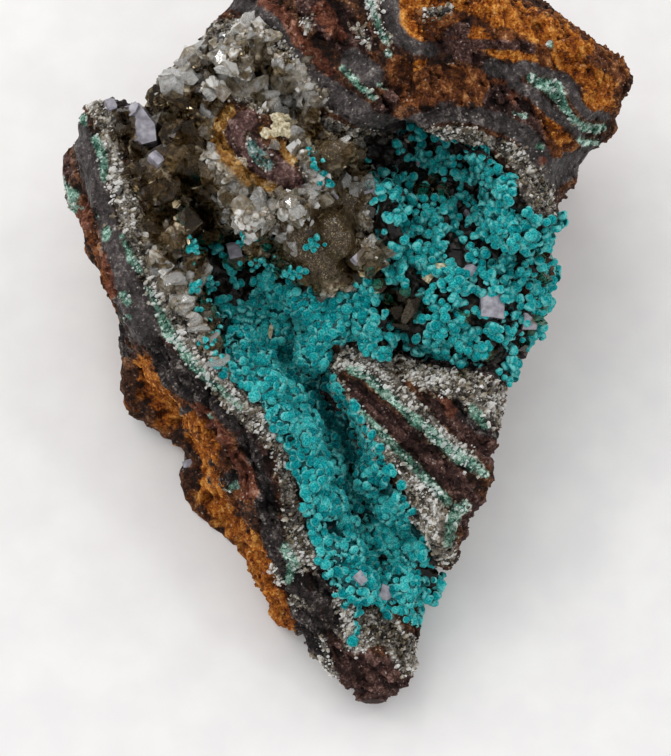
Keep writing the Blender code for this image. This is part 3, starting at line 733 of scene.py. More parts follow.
grit = add(
    ironstone, "TexNoise", links={"Vector": where, "Scale": 1000 / GRIT, "Detail": 3.0, "Roughness": 0.7}
)
cells = add(ironstone, "TexVoronoi", links={"Vector": where, "Scale": 1000 / SPARK})
spark = cells.outputs["Color"]
facet = add(ironstone, "Attribute", {"attribute_name": "facet"}).outputs["Fac"]
chipped = add(ironstone, "Attribute", {"attribute_name": "chipped"}).outputs["Fac"]
tone = add(ironstone, "Math", {"operation": "SUBTRACT"}, {0: grain, 1: TONE_MIDDLE})
shares = ((grit, GRIT_SHARE), (facet, FACET_SHARE), (chipped, CHIPPED_SHARE), (spark, SPARK_SHARE))
for value, share in shares:
    tone = add(ironstone, "Math", {"operation": "MULTIPLY_ADD"}, {0: value, 1: share, 2: tone})
states = {n: add(ironstone, "ValToRGB", links={"Fac": tone}, stops=s) for n, s in RAMPS.items()}
blotch = add(ironstone, "MapRange", SMOOTH, {"Value": patch, "From Min": 0.46, "From Max": 0.62})
sides = add(ironstone, "Attribute", {"attribute_name": "hidden"}).outputs["Fac"]
weathered = add(ironstone, "Math", {"operation": "MULTIPLY"}, {0: blotch, 1: sides})
colour = add(
    ironstone, "Mix", COLOURS, {"Factor": weathered, "A": states["rust"], "B": states["ochre"]}
)
for name, ragged in RAGGED.items():
    colour = laid_over(ironstone, colour, states[name], name, grain, ragged)
print(len(states), "states of the stone")

# %% The chip in the knob: purple-brown, with an ochre border and a blue-green core
CHIP_RAMPS = {
    "border": [(0.26, "#3c2108"), (0.45, "#8a5a20"), (0.58, "#ae8344"), (0.78, "#dcc69c")],
    "chip": [(0.26, "#2a1a18"), (0.45, "#573d39"), (0.58, "#72544e"), (0.78, "#a68f88")],
    "core": [(0.26, "#16322e"), (0.45, "#45706a"), (0.58, "#86a09a"), (0.78, "#d3d8d4")],
}
CHIP_RAGGED = 0.6  # mm
for name, stops in CHIP_RAMPS.items():
    shade = add(ironstone, "ValToRGB", links={"Fac": tone}, stops=stops)
    colour = laid_over(ironstone, colour, shade, name, grain, CHIP_RAGGED)
print("the chip is laid over them in", len(CHIP_RAMPS), "parts")

# %% White specks, partly quartz grains and partly painted glints; dust and painted shade in the pits; a dull gloss; fine relief
SPARK_RELIEF, RELIEF_DEPTH = 0.35, 0.3  # a share, and mm
# Painted glints, partly real quartz grains: rare near-white specks in the middles of small cells stand in for
# the glints that the low specular level takes away.
rare = add(ironstone, "MapRange", links={"Value": spark, "From Min": 0.72, "From Max": 0.80})
middle = add(
    ironstone, "MapRange", links={"Value": cells.outputs["Distance"], "From Min": 0.42, "From Max": 0.30}
)
here = add(ironstone, "MapRange", links={"Value": grit, "From Min": 0.50, "From Max": 0.60, "To Max": 0.7})
quartz_specks_and_painted_glints = add(ironstone, "Math", {"operation": "MULTIPLY"}, {0: rare, 1: middle})
quartz_specks_and_painted_glints = add(ironstone, "Math", {"operation": "MULTIPLY"}, {0: quartz_specks_and_painted_glints, 1: here})
colour = add(ironstone, "Mix", COLOURS, {"Factor": quartz_specks_and_painted_glints, "A": colour, "B": "#c9c2b6"})
# Painted shade, partly real dust: the colour is multiplied darker in the pits that the skin keeps, and a
# little lighter on the raised places.
pit = add(ironstone, "Attribute", {"attribute_name": "pit"}).outputs["Fac"]
shade = add(
    ironstone,
    "MapRange",
    links={"Value": pit, "From Min": -1.3, "From Max": 0.4, "To Min": 0.38, "To Max": 1.06},
)
colour = add(
    ironstone, "Mix", {**COLOURS, "blend_type": "MULTIPLY"}, {"Factor": 1.0, "A": colour, "B": shade}
)
gloss = zone(ironstone, "hematite", grain, 1.0)
rough = add(ironstone, "MapRange", links={"Value": gloss, "To Min": 0.66, "To Max": 0.45})
height = add(ironstone, "Math", {"operation": "MULTIPLY_ADD"}, {0: spark, 1: SPARK_RELIEF, 2: tone})
relief = add(ironstone, "Bump", links={"Strength": 1.0, "Distance": RELIEF_DEPTH * MM, "Height": height})
stone = add(
    ironstone,
    "BsdfPrincipled",
    links={
        "Base Color": colour, "Roughness": rough, "IOR": 1.6, "Specular IOR Level": 0.12, "Normal": relief,
    },
)
add(ironstone, "OutputMaterial", links={"Surface": stone})
rock_piece = new_piece("ironstone_face", rock, ironstone)
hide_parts("host_rock")
under_piece = new_piece("ironstone_underside", under, ironstone)
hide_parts("host_rock")
print("ironstone has", len(ironstone.node_tree.nodes), "nodes")

# %% [markdown]
# ## Tools for crystals
# Druses and grape-like crusts are one small shape, grown thousands of times. Each kind here has a
# few template shapes of a few dozen faces, made with mesh operators. Places are sprinkled over a
# skin, thinned so that no two are too close, and each gets a copy of a template, standing up
# from the skin and leaning a little. One joined mesh for each kind keeps the file small.


# %% Sprinkling
def apart(places, gap):
    """Which places stay when every place drops the later ones nearer than its gap (mm)."""
    gaps = np.broadcast_to(gap, len(places)) * MM
    tree = KDTree(len(places))
    for i, place in enumerate(places.tolist()):
        tree.insert(place, i)
    tree.balance()
    keep = np.ones(len(places), bool)
    for i, place in enumerate(places.tolist()):
        if keep[i]:
            for _, other, _ in tree.find_range(place, gaps[i]):
                if other > i:
                    keep[other] = False
    return keep


def sprinkle(mesh, weights, count, gap, seed):
    """Places on a mesh and the normals there, denser at high weights, none nearer than the gap (mm)."""
    rng = np.random.default_rng(seed)
    mesh.calc_loop_triangles()
    corners = read(mesh.loop_triangles, "vertices", 3, np.int32)
    points = read(mesh.vertices, "co")[corners]
    across = np.cross(points[:, 1] - points[:, 0], points[:, 2] - points[:, 0])
    area = np.linalg.norm(across, axis=1)
    share = area * np.clip(weights, 0, None)[corners].mean(axis=1)
    pick = rng.choice(len(corners), count, p=share / share.sum())
    a, b = rng.random((2, count, 1))
    a, b = np.where(a + b > 1, 1 - a, a), np.where(a + b > 1, 1 - b, b)
    chosen = points[pick]
    places = chosen[:, 0] * (1 - a - b) + chosen[:, 1] * a + chosen[:, 2] * b
    keep = apart(places, gap)
    return places[keep], (across[pick] / area[pick, None])[keep]


print("two places at one spot leave", apart(np.zeros((2, 3)), 1.0).sum())


# %% Room for a crystal
def packed_tree():
    """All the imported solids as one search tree."""
    points, faces = [], []
    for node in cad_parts.values():
        node.data.calc_loop_triangles()
        faces += (read(node.data.loop_triangles, "vertices", 3, np.int32) + len(points)).tolist()
        points += read(node.data.vertices, "co").tolist()
    return BVHTree.FromPolygons(points, faces)


SOLIDS = packed_tree()
STANDING = []  # the middle and radius (m) of each crystal that is set one by one further down


def open_air(places, normals, start, reach):
    """Which places have no solid in front of them, from the start on for so many millimetres."""
    free = [
        SOLIDS.ray_cast(Vector(p) + Vector(n) * start * MM, Vector(n), reach * MM)[0] is None
        for p, n in zip(places.tolist(), normals.tolist())
    ]
    return np.array(free)


def with_room(places, normals, start, reach, most=None, standing=STANDING):
    """The first so many places with open air in front of them and no crystal set on them one by one."""
    keep = open_air(places, normals, start, reach)
    for middle, radius in standing:
        keep &= np.linalg.norm(places - np.array(middle), axis=1) > radius
    return places[keep][:most], normals[keep][:most]


print("the solids' nearest point to the eye is", round(SOLIDS.find_nearest(EYE)[3], 3), "m away")

# %% The place under a pixel
INWARD, INWARD_STEP = 330, 0.01  # the pixel, in x and in y, to search towards, and the share of the way


def under_pixel(x, y):
    """The place of the solid that the eye sees at a pixel, or at the first one inward that shows it."""
    place = None
    while place is None:
        u, v, _ = from_photo([(x, y, 0)])[0]
        place = SOLIDS.ray_cast(EYE, (FACE @ Vector((u, v, 0)) - EYE).normalized())[0]
        x, y = x + INWARD_STEP * (INWARD - x), y + INWARD_STEP * (INWARD - y)
    return place


print("under the middle of the chamber:", tuple(round(x, 4) for x in under_pixel(430, 250)))


# %% Growing copies
LEAN_SHARE = 0.6


def template(shape):
    """A bmesh's corner points and triangles, as arrays. It frees the bmesh."""
    bmesh.ops.triangulate(shape, faces=shape.faces)
    shape.verts.index_update()
    points = np.array([v.co for v in shape.verts])
    faces = np.array([[v.index for v in face.verts] for face in shape.faces])
    shape.free()
    return points, faces


def leaning(normals, degrees, rng):
    """The normals, each turned by a random lean of about so many degrees."""
    return normals + math.tan(math.radians(degrees)) * rng.normal(size=normals.shape) * LEAN_SHARE


def grow(name, shapes, places, axes, widths, lengths, seed, smooth=False, tones=None):
    """One mesh with a copy of a template at each place (sizes in mm). Each copy has its own tone."""
    rng = np.random.default_rng(seed)
    z = axes / np.linalg.norm(axes, axis=1, keepdims=True)
    x = np.cross(rng.normal(size=z.shape), z)
    x /= np.linalg.norm(x, axis=1, keepdims=True)
    widths, lengths = np.asarray(widths)[:, None] * MM, np.asarray(lengths)[:, None] * MM
    frames = np.stack([x * widths, np.cross(z, x) * widths, z * lengths], axis=1)
    tones = rng.random(len(places)) if tones is None else tones
    pick = rng.integers(len(shapes), size=len(places))
    points, faces, tone, rim, total = [], [], [], [], 0
    for k, (corners, triangles) in enumerate(shapes):
        mine = np.flatnonzero(pick == k)
        points.append((corners @ frames[mine] + places[mine, None]).reshape(-1, 3))
        offsets = total + np.arange(len(mine)) * len(corners)
        faces.append((triangles[None] + offsets[:, None, None]).reshape(-1, 3))
        tone.append(np.repeat(tones[mine], len(corners)))
        rim.append(np.tile(np.hypot(corners[:, 0], corners[:, 1]), len(mine)))
        total += len(mine) * len(corners)
    mesh = bpy.data.meshes.new(name)
    mesh.from_pydata(np.concatenate(points).tolist(), [], np.concatenate(faces).tolist(), not smooth)
    write_points(mesh, np.concatenate(points))
    write_values(mesh, tone=np.concatenate(tone), rim=np.concatenate(rim))
    print(name, len(places), "copies,", len(mesh.polygons), "triangles")
    return mesh


# %% Crystal templates
def six_sided_crystal(rng):
    """Rock crystal: a six-sided prism, one unit across and long, closed by a tip of uneven faces."""
    shape = bmesh.new()
    bmesh.ops.create_cone(shape, cap_ends=True, segments=6, radius1=0.5, radius2=0.46, depth=0.75)
    bmesh.ops.translate(shape, verts=shape.verts, vec=(0, 0, 0.1))
    top = max(shape.faces, key=lambda face: face.calc_center_median().z)
    tip = bmesh.ops.extrude_face_region(shape, geom=[top])["geom"]
    tip = [v for v in tip if isinstance(v, bmesh.types.BMVert)]
    lean = Vector((rng.uniform(-0.16, 0.16), rng.uniform(-0.16, 0.16), 0))
    for v in tip:
        v.co = Vector((v.co.x * 0.12, v.co.y * 0.12, v.co.z + rng.uniform(0.22, 0.36))) + lean
    bmesh.ops.delete(shape, geom=[top], context="FACES_ONLY")
    bmesh.ops.recalc_face_normals(shape, faces=shape.faces)
    return template(shape)


def broken_piece(rng, cuts=5, low=0.22):
    """A splinter of quartz: a block cut by a few flat breaks."""
    shape = bmesh.new()
    bmesh.ops.create_cube(shape, size=1.0)
    for _ in range(cuts):
        cut = Vector((rng.uniform(-1, 1), rng.uniform(-1, 1), rng.uniform(-0.2, 1))).normalized()
        geom = shape.verts[:] + shape.edges[:] + shape.faces[:]
        made = bmesh.ops.bisect_plane(
            shape, geom=geom, plane_co=cut * rng.uniform(low, 0.4), plane_no=cut, clear_outer=True
        )["geom_cut"]
        edges = [item for item in made if isinstance(item, bmesh.types.BMEdge)]
        bmesh.ops.contextual_create(shape, geom=edges)
    bmesh.ops.remove_doubles(shape, verts=shape.verts, dist=0.02)
    bmesh.ops.recalc_face_normals(shape, faces=shape.faces)
    return template(shape)


def crumb(rng):
    """A rough grain of twenty flat faces."""
    shape = bmesh.new()
    bmesh.ops.create_icosphere(shape, subdivisions=1, radius=0.5)
    for v in shape.verts:
        v.co *= rng.uniform(0.62, 1.25)
    return template(shape)


def fibre(rng):
    """A thin crystal of a comb: a five-sided prism under a low, uneven point."""
    shape = bmesh.new()
    bmesh.ops.create_cone(
        shape, cap_ends=True, segments=5, radius1=0.5, radius2=rng.uniform(0.34, 0.5), depth=0.7
    )
    top = max(shape.faces, key=lambda face: face.calc_center_median().z)
    low = min(shape.faces, key=lambda face: face.calc_center_median().z)
    bmesh.ops.delete(shape, geom=[low], context="FACES_ONLY")
    point = bmesh.ops.poke(shape, faces=[top], offset=rng.uniform(0.1, 0.35))["verts"][0]
    point.co += Vector((rng.uniform(-0.3, 0.3), rng.uniform(-0.3, 0.3), 0))
    for v in shape.verts:
        v.co.z += rng.uniform(-0.08, 0.08)
    return template(shape)


rng = random.Random(3)
FIBRES = [fibre(rng) for _ in range(8)]
CRYSTALS = [six_sided_crystal(rng) for _ in range(4)]
SPLINTERS = [broken_piece(rng) for _ in range(8)]
BLOCKS = [broken_piece(rng, 3, 0.3) for _ in range(6)]
SHARDS = [(points * 1.4, faces) for points, faces in (broken_piece(rng, 8, 0.16) for _ in range(8))]
CRUMBS = [crumb(rng) for _ in range(10)]
GROWN = FIBRES + CRYSTALS + SPLINTERS + BLOCKS + SHARDS + CRUMBS
print("triangles each:", [len(faces) for _, faces in GROWN])

# %% [markdown]
# ### Crumbs
# Broken ironstone is never clean: crumbs of it sit on every ledge and in every pit, and their
# small flat sides catch the light. They take the rock's own finish, and the zones under them.

# %% Crumbs of ironstone on the broken face
rng = np.random.default_rng(11)
level = on_face(read(rock.vertices, "co"))[:, 2]
loose = 0.35 + step(kept(rock, "ochre"), -1.5, 0.5) + 0.5 * step(kept(rock, "maroon"), -1.0, 0.5)
loose += 0.3 * step(kept(rock, "russet"), -1.5, 0.5) + 0.3 * step(kept(rock, "black"), -1.5, 0.5)
loose *= 1 - 0.8 * step(kept(rock, "hematite"), -1.0, 0.5)
loose *= (1 - step(kept(rock, "quartz"), -1.0, 0.0)) * (1 - step(kept(rock, "chip"), -1.0, 0.0))
spots = sprinkle(rock, loose * step(level, -22, -15), count=9000, gap=0.55, seed=12)
places, normals = with_room(*spots, start=0.9, reach=2.0, most=3600)
widths = 0.25 + 0.7 * rng.random(len(places)) ** 2
crumbs = grow("ironstone_crumbs", CRUMBS, places, leaning(normals, 40, rng), widths, widths * 0.8, 13)
points = read(crumbs.vertices, "co")
lift = rng.uniform(-0.3, 0.5, len(points))
facet = kept(crumbs, "tone") - 0.5
write_values(crumbs, pit=lift * 0.5, hidden=0 * lift, facet=facet, chipped=lift, **zones_of(points))
new_piece("ironstone_crumbs", crumbs, ironstone)

# %% [markdown]
# ## The quartz
# The hollow was lined with quartz before the copper came. Against the rock it is a comb of milky
# fibres, all pointing into the hollow and broken across, and where the crystals had room they
# are smoky and clear. All are the same mineral, with an index of refraction of 1.54. The milky
# fibres scatter light from inside, so they are glass with some white in it. The smoky ones are
# glass that takes out light with depth, more of the blue than of the red, and a brown specular
# tint keeps the bright sky from turning their flat faces into grey mirrors. The clear ones have
# pale veils inside. The few faces that mirror the window's sky are a painted reflection: a flat
# lavender-grey colour that stands in for the sky they mirror.

# %% Milky quartz
QUARTZ_IOR = 1.544
CLOUD = 1.1  # mm, the clouds of trapped bubbles in milky quartz
milky_quartz = new_material("milky_quartz")
tone = add(milky_quartz, "Attribute", {"attribute_name": "tone"}).outputs["Fac"]
where = add(milky_quartz, "TexCoord").outputs["Object"]
cloud = add(milky_quartz, "TexNoise", links={"Vector": where, "Scale": 1000 / CLOUD, "Detail": 4.0})
level = add(milky_quartz, "Math", {"operation": "MULTIPLY_ADD"}, {0: cloud, 1: 1.5, 2: -0.75})
level = add(milky_quartz, "Math", {"operation": "ADD"}, {0: tone, 1: level})
colour = add(
    milky_quartz,
    "ValToRGB",
    links={"Fac": level},
    stops=[(0.0, "#1b130b"), (0.25, "#544632"), (0.5, "#96866b"), (0.7, "#cec3af"), (0.9, "#fdfaf4")],
)
tinted = add(
    milky_quartz,
    "ValToRGB",
    links={"Fac": level},
    stops=[(0.0, "#17392d"), (0.4, "#4f8670"), (0.7, "#a2cab7"), (1.0, "#f2faf5")],
)
colour = laid_over(milky_quartz, colour, tinted, "green", cloud, 0.9, soft=0.5)
glass = add(
    milky_quartz,
    "BsdfPrincipled",
    links={"Base Color": colour, "Roughness": 0.15, "IOR": QUARTZ_IOR, "Transmission Weight": 0.42},
)
add(milky_quartz, "OutputMaterial", links={"Surface": glass})
print("milky quartz has", len(milky_quartz.node_tree.nodes), "nodes")

# %% Smoky quartz
SMOKE_COLOUR, SMOKE_DENSITY = "#b09a74", 85.0
smoky_quartz = new_material("smoky_quartz")
glass = add(
    smoky_quartz,
    "BsdfPrincipled",
    links={
        "Base Color": "#dccbaa", "Roughness": 0.05, "IOR": QUARTZ_IOR, "Transmission Weight": 1.0,
        "Specular Tint": "#b9aa96",
    },
)
smoke = add(smoky_quartz, "VolumeAbsorption", links={"Color": SMOKE_COLOUR, "Density": SMOKE_DENSITY})
add(smoky_quartz, "OutputMaterial", links={"Surface": glass, "Volume": smoke})
print("smoky quartz has", len(smoky_quartz.node_tree.nodes), "nodes")

# %% Clear quartz
CLEAR_VEIL = 0.9  # mm
clear_quartz = new_material("clear_quartz")
where = add(clear_quartz, "TexCoord").outputs["Object"]
veil = add(clear_quartz, "TexNoise", links={"Vector": where, "Scale": 1000 / CLEAR_VEIL, "Detail": 4.0})
tone = add(clear_quartz, "Attribute", {"attribute_name": "tone"}).outputs["Fac"]
level = add(clear_quartz, "Math", {"operation": "MULTIPLY_ADD"}, {0: tone, 1: 0.6, 2: veil})
colour = add(
    clear_quartz,
    "ValToRGB",
    links={"Fac": level},
    stops=[(0.45, "#6f5d44"), (0.72, "#cbbb9f"), (1.0, "#fffefa")],
)
glass = add(
    clear_quartz,
    "BsdfPrincipled",
    links={"Base Color": colour, "Roughness": 0.05, "IOR": QUARTZ_IOR, "Transmission Weight": 0.77},
)
add(clear_quartz, "OutputMaterial", links={"Surface": glass})
print("clear quartz has", len(clear_quartz.node_tree.nodes), "nodes")

# %% Quartz faces with a painted reflection of the sky
SKY_REFLECTION_MOTTLE = 1.2  # mm
painted_sky_reflection_quartz = new_material("painted_sky_reflection_quartz")
where = add(painted_sky_reflection_quartz, "TexCoord").outputs["Object"]
veil = add(painted_sky_reflection_quartz, "TexNoise", links={"Vector": where, "Scale": 1000 / SKY_REFLECTION_MOTTLE, "Detail": 4.0})
# Painted reflection: the base colour is the sky's lavender-grey, with little light let through.
colour = add(painted_sky_reflection_quartz, "ValToRGB", links={"Fac": veil}, stops=[(0.35, "#837e86"), (0.65, "#b4b0b9")])
glass = add(
    painted_sky_reflection_quartz,
    "BsdfPrincipled",
    links={"Base Color": colour, "Roughness": 0.12, "IOR": QUARTZ_IOR, "Transmission Weight": 0.15},
)
add(painted_sky_reflection_quartz, "OutputMaterial", links={"Surface": glass})
print("sky-lit quartz has", len(painted_sky_reflection_quartz.node_tree.nodes), "nodes")

# %% [markdown]
# ### The lining under the crystals
# Under its crystals the quartz is one mass: pale on the knob, smoky brown in the channel, and
# smooth on the hump, which is clear enough to show the flecks inside it. Its skin is made as
# the rock's is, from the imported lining, with flat breaks 3 and 1 mm wide, like the faces of
# crystals that had no room. A clear skin would show the rock's skin through it, so the mass is
# opaque, and the hump's depth is only suggested, by flecks under a thin gloss.

# %% Where the quartz is smoky, where it is smooth, and where it is white, in strokes of pixels
CHANNEL = [
    [(122, 126, 10), (140, 122, 10)],
    [(130, 150, 14), (142, 180, 12), (150, 210, 10), (160, 235, 12), (172, 262, 8)],
    [(168, 150, 25), (188, 190, 30), (200, 232, 26), (222, 256, 18), (262, 250, 18), (300, 262, 26),
     (336, 262, 28), (368, 268, 12)],
    [(166, 98, 14), (188, 104, 18), (192, 130, 16)],
    [(256, 56, 12), (262, 78, 12), (274, 90, 8)],
    [(294, 116, 8), (316, 122, 14), (330, 150, 18), (352, 168, 16)],
    [(330, 225, 30)],
    [(190, 262, 8), (200, 280, 12), (208, 300, 14), (216, 320, 13), (222, 342, 10)],
]
POCKET = [[(257, 54, 9), (262, 78, 10), (274, 90, 6)]]
HUMP = [
    [(322, 212, 16), (338, 232, 22), (326, 258, 24), (350, 262, 16)], [(304, 240, 18), (308, 260, 16)],
    [(344, 186, 18), (356, 204, 12)], [(332, 152, 14)],
]
WHITE = [
    [(144, 290, 6), (158, 284, 8)],
    [(170, 336, 9), (180, 350, 6)],
    [(192, 362, 9), (208, 378, 8)],
    [(228, 396, 7), (242, 408, 5)],
    [(258, 418, 7), (274, 432, 8)],
    [(116, 176, 7), (120, 196, 9)],
    [(232, 172, 5), (244, 188, 6)],
    [(250, 220, 9), (276, 214, 11)],
    [(226, 72, 12)],
    [(240, 24, 8), (256, 30, 8)],
    [(284, 60, 6), (296, 80, 9)],
    [(274, 572, 5), (278, 584, 4)],
    [(322, 644, 3), (326, 660, 3), (336, 684, 5)],
    [(342, 600, 5), (348, 626, 8), (358, 646, 7)],
    [(372, 4, 8), (377, 22, 5), (386, 38, 4)],
    [(416, 380, 7), (440, 382, 7)],
    [(486, 404, 10)],
    [(356, 362, 7), (394, 388, 8), (408, 402, 6)],
    [(430, 430, 5), (450, 446, 6), (466, 460, 6)],
    [(428, 492, 8), (436, 526, 4)],
    [(294, 548, 6), (300, 558, 4)],
]
DIM = [
    [(374, 612, 14), (392, 630, 16), (404, 656, 12)], [(286, 480, 8), (294, 516, 8)],
    [(318, 126, 8), (400, 136, 8)], [(440, 546, 8), (448, 530, 6)],
]
print(len(CHANNEL + POCKET + HUMP + WHITE + DIM), "strokes on the quartz")

# %% Smoky quartz in bulk, under the crystals
MASS_GRAIN = 0.9  # mm
MASS_RAMPS = {
    "dark": [(0.32, "#2e2217"), (0.5, "#7d6c54"), (0.7, "#dccdaf")],
    "pale": [(0.3, "#33281b"), (0.5, "#968770"), (0.7, "#efe6d6")],
    "rust": CHIP_RAMPS["border"],
}
HUMP_FLECK = 0.45  # mm, the needles and bubbles inside the clear hump
HUMP_RAMP = [(0.32, "#1d150b"), (0.48, "#3b2d1a"), (0.6, "#5c4b31"), (0.7, "#b3a585")]
BED_RELIEF = 0.25  # mm


def hump_colour(material, where):
    """The colour of the clear brown hump: flecks that run into short lines."""
    fleck = add(
        material,
        "TexNoise",
        links={"Vector": where, "Scale": 1000 / HUMP_FLECK, "Detail": 3.0, "Distortion": 2.0},
    )
    return add(material, "ValToRGB", links={"Fac": fleck}, stops=HUMP_RAMP)


quartz_mass = new_material("smoky_quartz_mass")
where = add(quartz_mass, "TexCoord").outputs["Object"]
grain = add(
    quartz_mass,
    "TexNoise",
    links={"Vector": where, "Scale": 1000 / MASS_GRAIN, "Detail": 5.0, "Roughness": 0.6},
)
shades = {n: add(quartz_mass, "ValToRGB", links={"Fac": grain}, stops=s) for n, s in MASS_RAMPS.items()}
dome = hump_colour(quartz_mass, where)
colour = laid_over(quartz_mass, shades["pale"], shades["dark"], "channel", grain, 1.2)
colour = laid_over(quartz_mass, colour, dome, "hump", grain, 1.2, soft=0.8)
colour = laid_over(quartz_mass, colour, shades["rust"], "border", grain, 0.8)
relief = add(quartz_mass, "Bump", links={"Strength": 0.6, "Distance": BED_RELIEF * MM, "Height": grain})
mass = add(
    quartz_mass,
    "BsdfPrincipled",
    links={
        "Base Color": colour, "Roughness": 0.3, "IOR": QUARTZ_IOR, "Specular IOR Level": 0.18,
        "Normal": relief, "Coat Weight": 0.2, "Coat Roughness": 0.06,
    },
)
add(quartz_mass, "OutputMaterial", links={"Surface": mass})
print("quartz mass has", len(quartz_mass.node_tree.nodes), "nodes")

# %% The lining's skin
BED_SQUARE = 0.42  # mm
BED_TRIANGLES = 50000


def keep_strokes(mesh, points, **named_strokes):
    """Keeps how deep each vertex is inside each zone of strokes, seen from where it was."""
    places = seen(points)
    depths = {name: depth_inside(places, strokes) for name, strokes in named_strokes.items()}
    write_values(mesh, **{name: np.maximum(depth, FAR_OUTSIDE) for name, depth in depths.items()})


lining = even_skin("quartz_lining", BED_SQUARE, 3)
points, normals = read(lining.vertices, "co"), read(lining.vertex_normals, "vector")
hump = depth_inside(seen(points), HUMP)
push = 1.3 * breaks(points, 3.2, 5) + 0.6 * breaks(points, 1.2, 6) - 0.2
push *= 1 - 0.8 * step(hump, -0.8, 0.8)
push += 0.5 * step(hump, -2.0, 1.5)
push -= 2.4 * on_strokes(points, POCKET, -0.8, 0.8)
push -= 0.9 * on_strokes(points, CHIP, -1.4, -0.4)
write_points(lining, points + normals * push[:, None] * MM)
smoothed(lining, hump > -0.5, 2)
keep_strokes(lining, points, channel=CHANNEL, hump=HUMP)
write_values(lining, **zones_of(points))
lining = thinned(lining, BED_TRIANGLES)
lining_piece = new_piece("quartz_bed", lining, quartz_mass)
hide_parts("quartz_lining")
print("lining:", len(lining.polygons), "faces")

# %% [markdown]
# ### Crystals that one would know again
# A few crystals are big enough to have a place of their own: the clear ones round the knob's
# pocket, the smoky ones that fill the channel, and the flat faces with a painted reflection of
# the sky. Each is set where the eye's ray through its pixel meets the solid, leaning as it does,
# and no smaller crystal grows where it stands.

# %% Planting by pixel
FOOT_SHARE = 0.42  # how far, in widths, a planted crystal keeps the small ones away


def planted(name, shapes, rows, material, seed, rise=0.15):
    """Crystals set one by one: rows of (x, y, width mm, length mm, lean right, lean up)."""
    places, axes = [], []
    for x, y, width, length, right, up in rows:
        axis = face_axis(right, up, 1.0)
        places.append(under_pixel(x, y) + axis * rise * length * MM)
        axes.append(axis)
        STANDING.append((places[-1], FOOT_SHARE * width * MM))
    rows = np.array(rows)
    mesh = grow(name, shapes, np.array(places), np.array(axes), rows[:, 2], rows[:, 3], seed)
    write_values(mesh, green=np.full(len(mesh.vertices), FAR_OUTSIDE))
    return new_piece(name, mesh, material)


print("no small crystal within", FOOT_SHARE, "widths of a planted one")

# %% The planted crystals, as (x, y, width, length, lean right, lean up)
CLEAR_ONES = [
    (252, 92, 4.6, 2.4, 0.3, -0.2), (238, 90, 3.2, 2.2, -0.1, -0.1), (268, 56, 1.9, 3.0, 0.5, 0.6),
    (276, 64, 1.6, 2.4, 0.6, 0.2), (292, 82, 3.2, 3.6, -0.2, 0.5), (287, 96, 2.8, 3.2, -0.3, -0.4),
    (301, 98, 1.9, 3.2, 0.1, -0.7), (300, 76, 2.2, 2.8, 0.2, 0.6), (314, 102, 2.4, 2.0, 0.2, -0.1),
    (324, 94, 1.6, 1.8, 0.3, 0.2), (154, 102, 2.4, 2.4, -0.5, 0.3), (158, 112, 1.8, 2.0, -0.2, -0.4),
    (207, 134, 2.4, 2.4, -0.5, 0.3), (212, 146, 1.6, 2.0, -0.3, 0.0), (216, 106, 2.2, 1.6, -0.3, 0.3),
    (204, 108, 2.4, 1.8, -0.2, 0.1), (270, 108, 2.2, 2.2, 0.2, 0.3), (276, 146, 1.4, 2.0, 0.8, -0.4),
    (264, 206, 2.0, 2.2, -0.3, -0.2), (276, 212, 2.4, 2.2, 0.2, -0.4), (284, 204, 1.8, 2.0, 0.3, 0.1),
    (296, 210, 2.6, 2.2, 0.3, -0.3), (310, 200, 2.8, 2.4, 0.5, -0.1), (316, 188, 2.2, 2.2, 0.5, 0.2),
    (302, 222, 1.8, 2.0, 0.2, -0.5), (292, 196, 1.8, 1.8, 0.1, 0.2), (232, 186, 1.9, 1.8, -0.3, -0.2),
    (244, 192, 1.8, 1.6, 0.0, -0.2), (256, 190, 1.6, 1.6, 0.1, -0.3), (342, 182, 3.4, 2.0, 0.1, 0.2),
    (352, 194, 2.8, 1.8, 0.4, 0.0), (336, 200, 2.4, 1.6, -0.2, -0.2), (148, 242, 1.6, 2.2, 0.2, 0.4),
    (214, 166, 1.6, 1.6, -0.4, -0.1), (222, 178, 1.6, 1.8, -0.3, 0.0), (286, 256, 2.4, 1.4, 0.0, 0.0),
    (294, 244, 2.2, 1.6, 0.1, 0.1), (196, 62, 2.2, 1.8, -0.5, 0.5), (184, 76, 2.4, 1.8, -0.4, 0.3),
    (176, 84, 2.0, 1.8, -0.6, 0.2), (212, 56, 2.2, 1.8, -0.3, 0.5), (244, 60, 2.0, 2.2, 0.4, 0.1),
]
MILKY_ONES = [
    (226, 78, 2.6, 1.8, -0.1, 0.1), (230, 66, 1.6, 2.4, -0.2, 0.4), (252, 222, 1.8, 1.2, 0.0, -0.3),
    (272, 214, 1.8, 1.4, 0.1, -0.5), (283, 212, 1.9, 1.4, 0.1, -0.3), (293, 217, 1.4, 1.2, 0.3, -0.3),
    (240, 28, 2.0, 1.8, 0.0, 0.6), (256, 24, 2.2, 1.8, 0.1, 0.6), (146, 238, 1.4, 1.8, 0.1, 0.5),
    (308, 226, 0.6, 2.4, 1.6, 2.0),
]
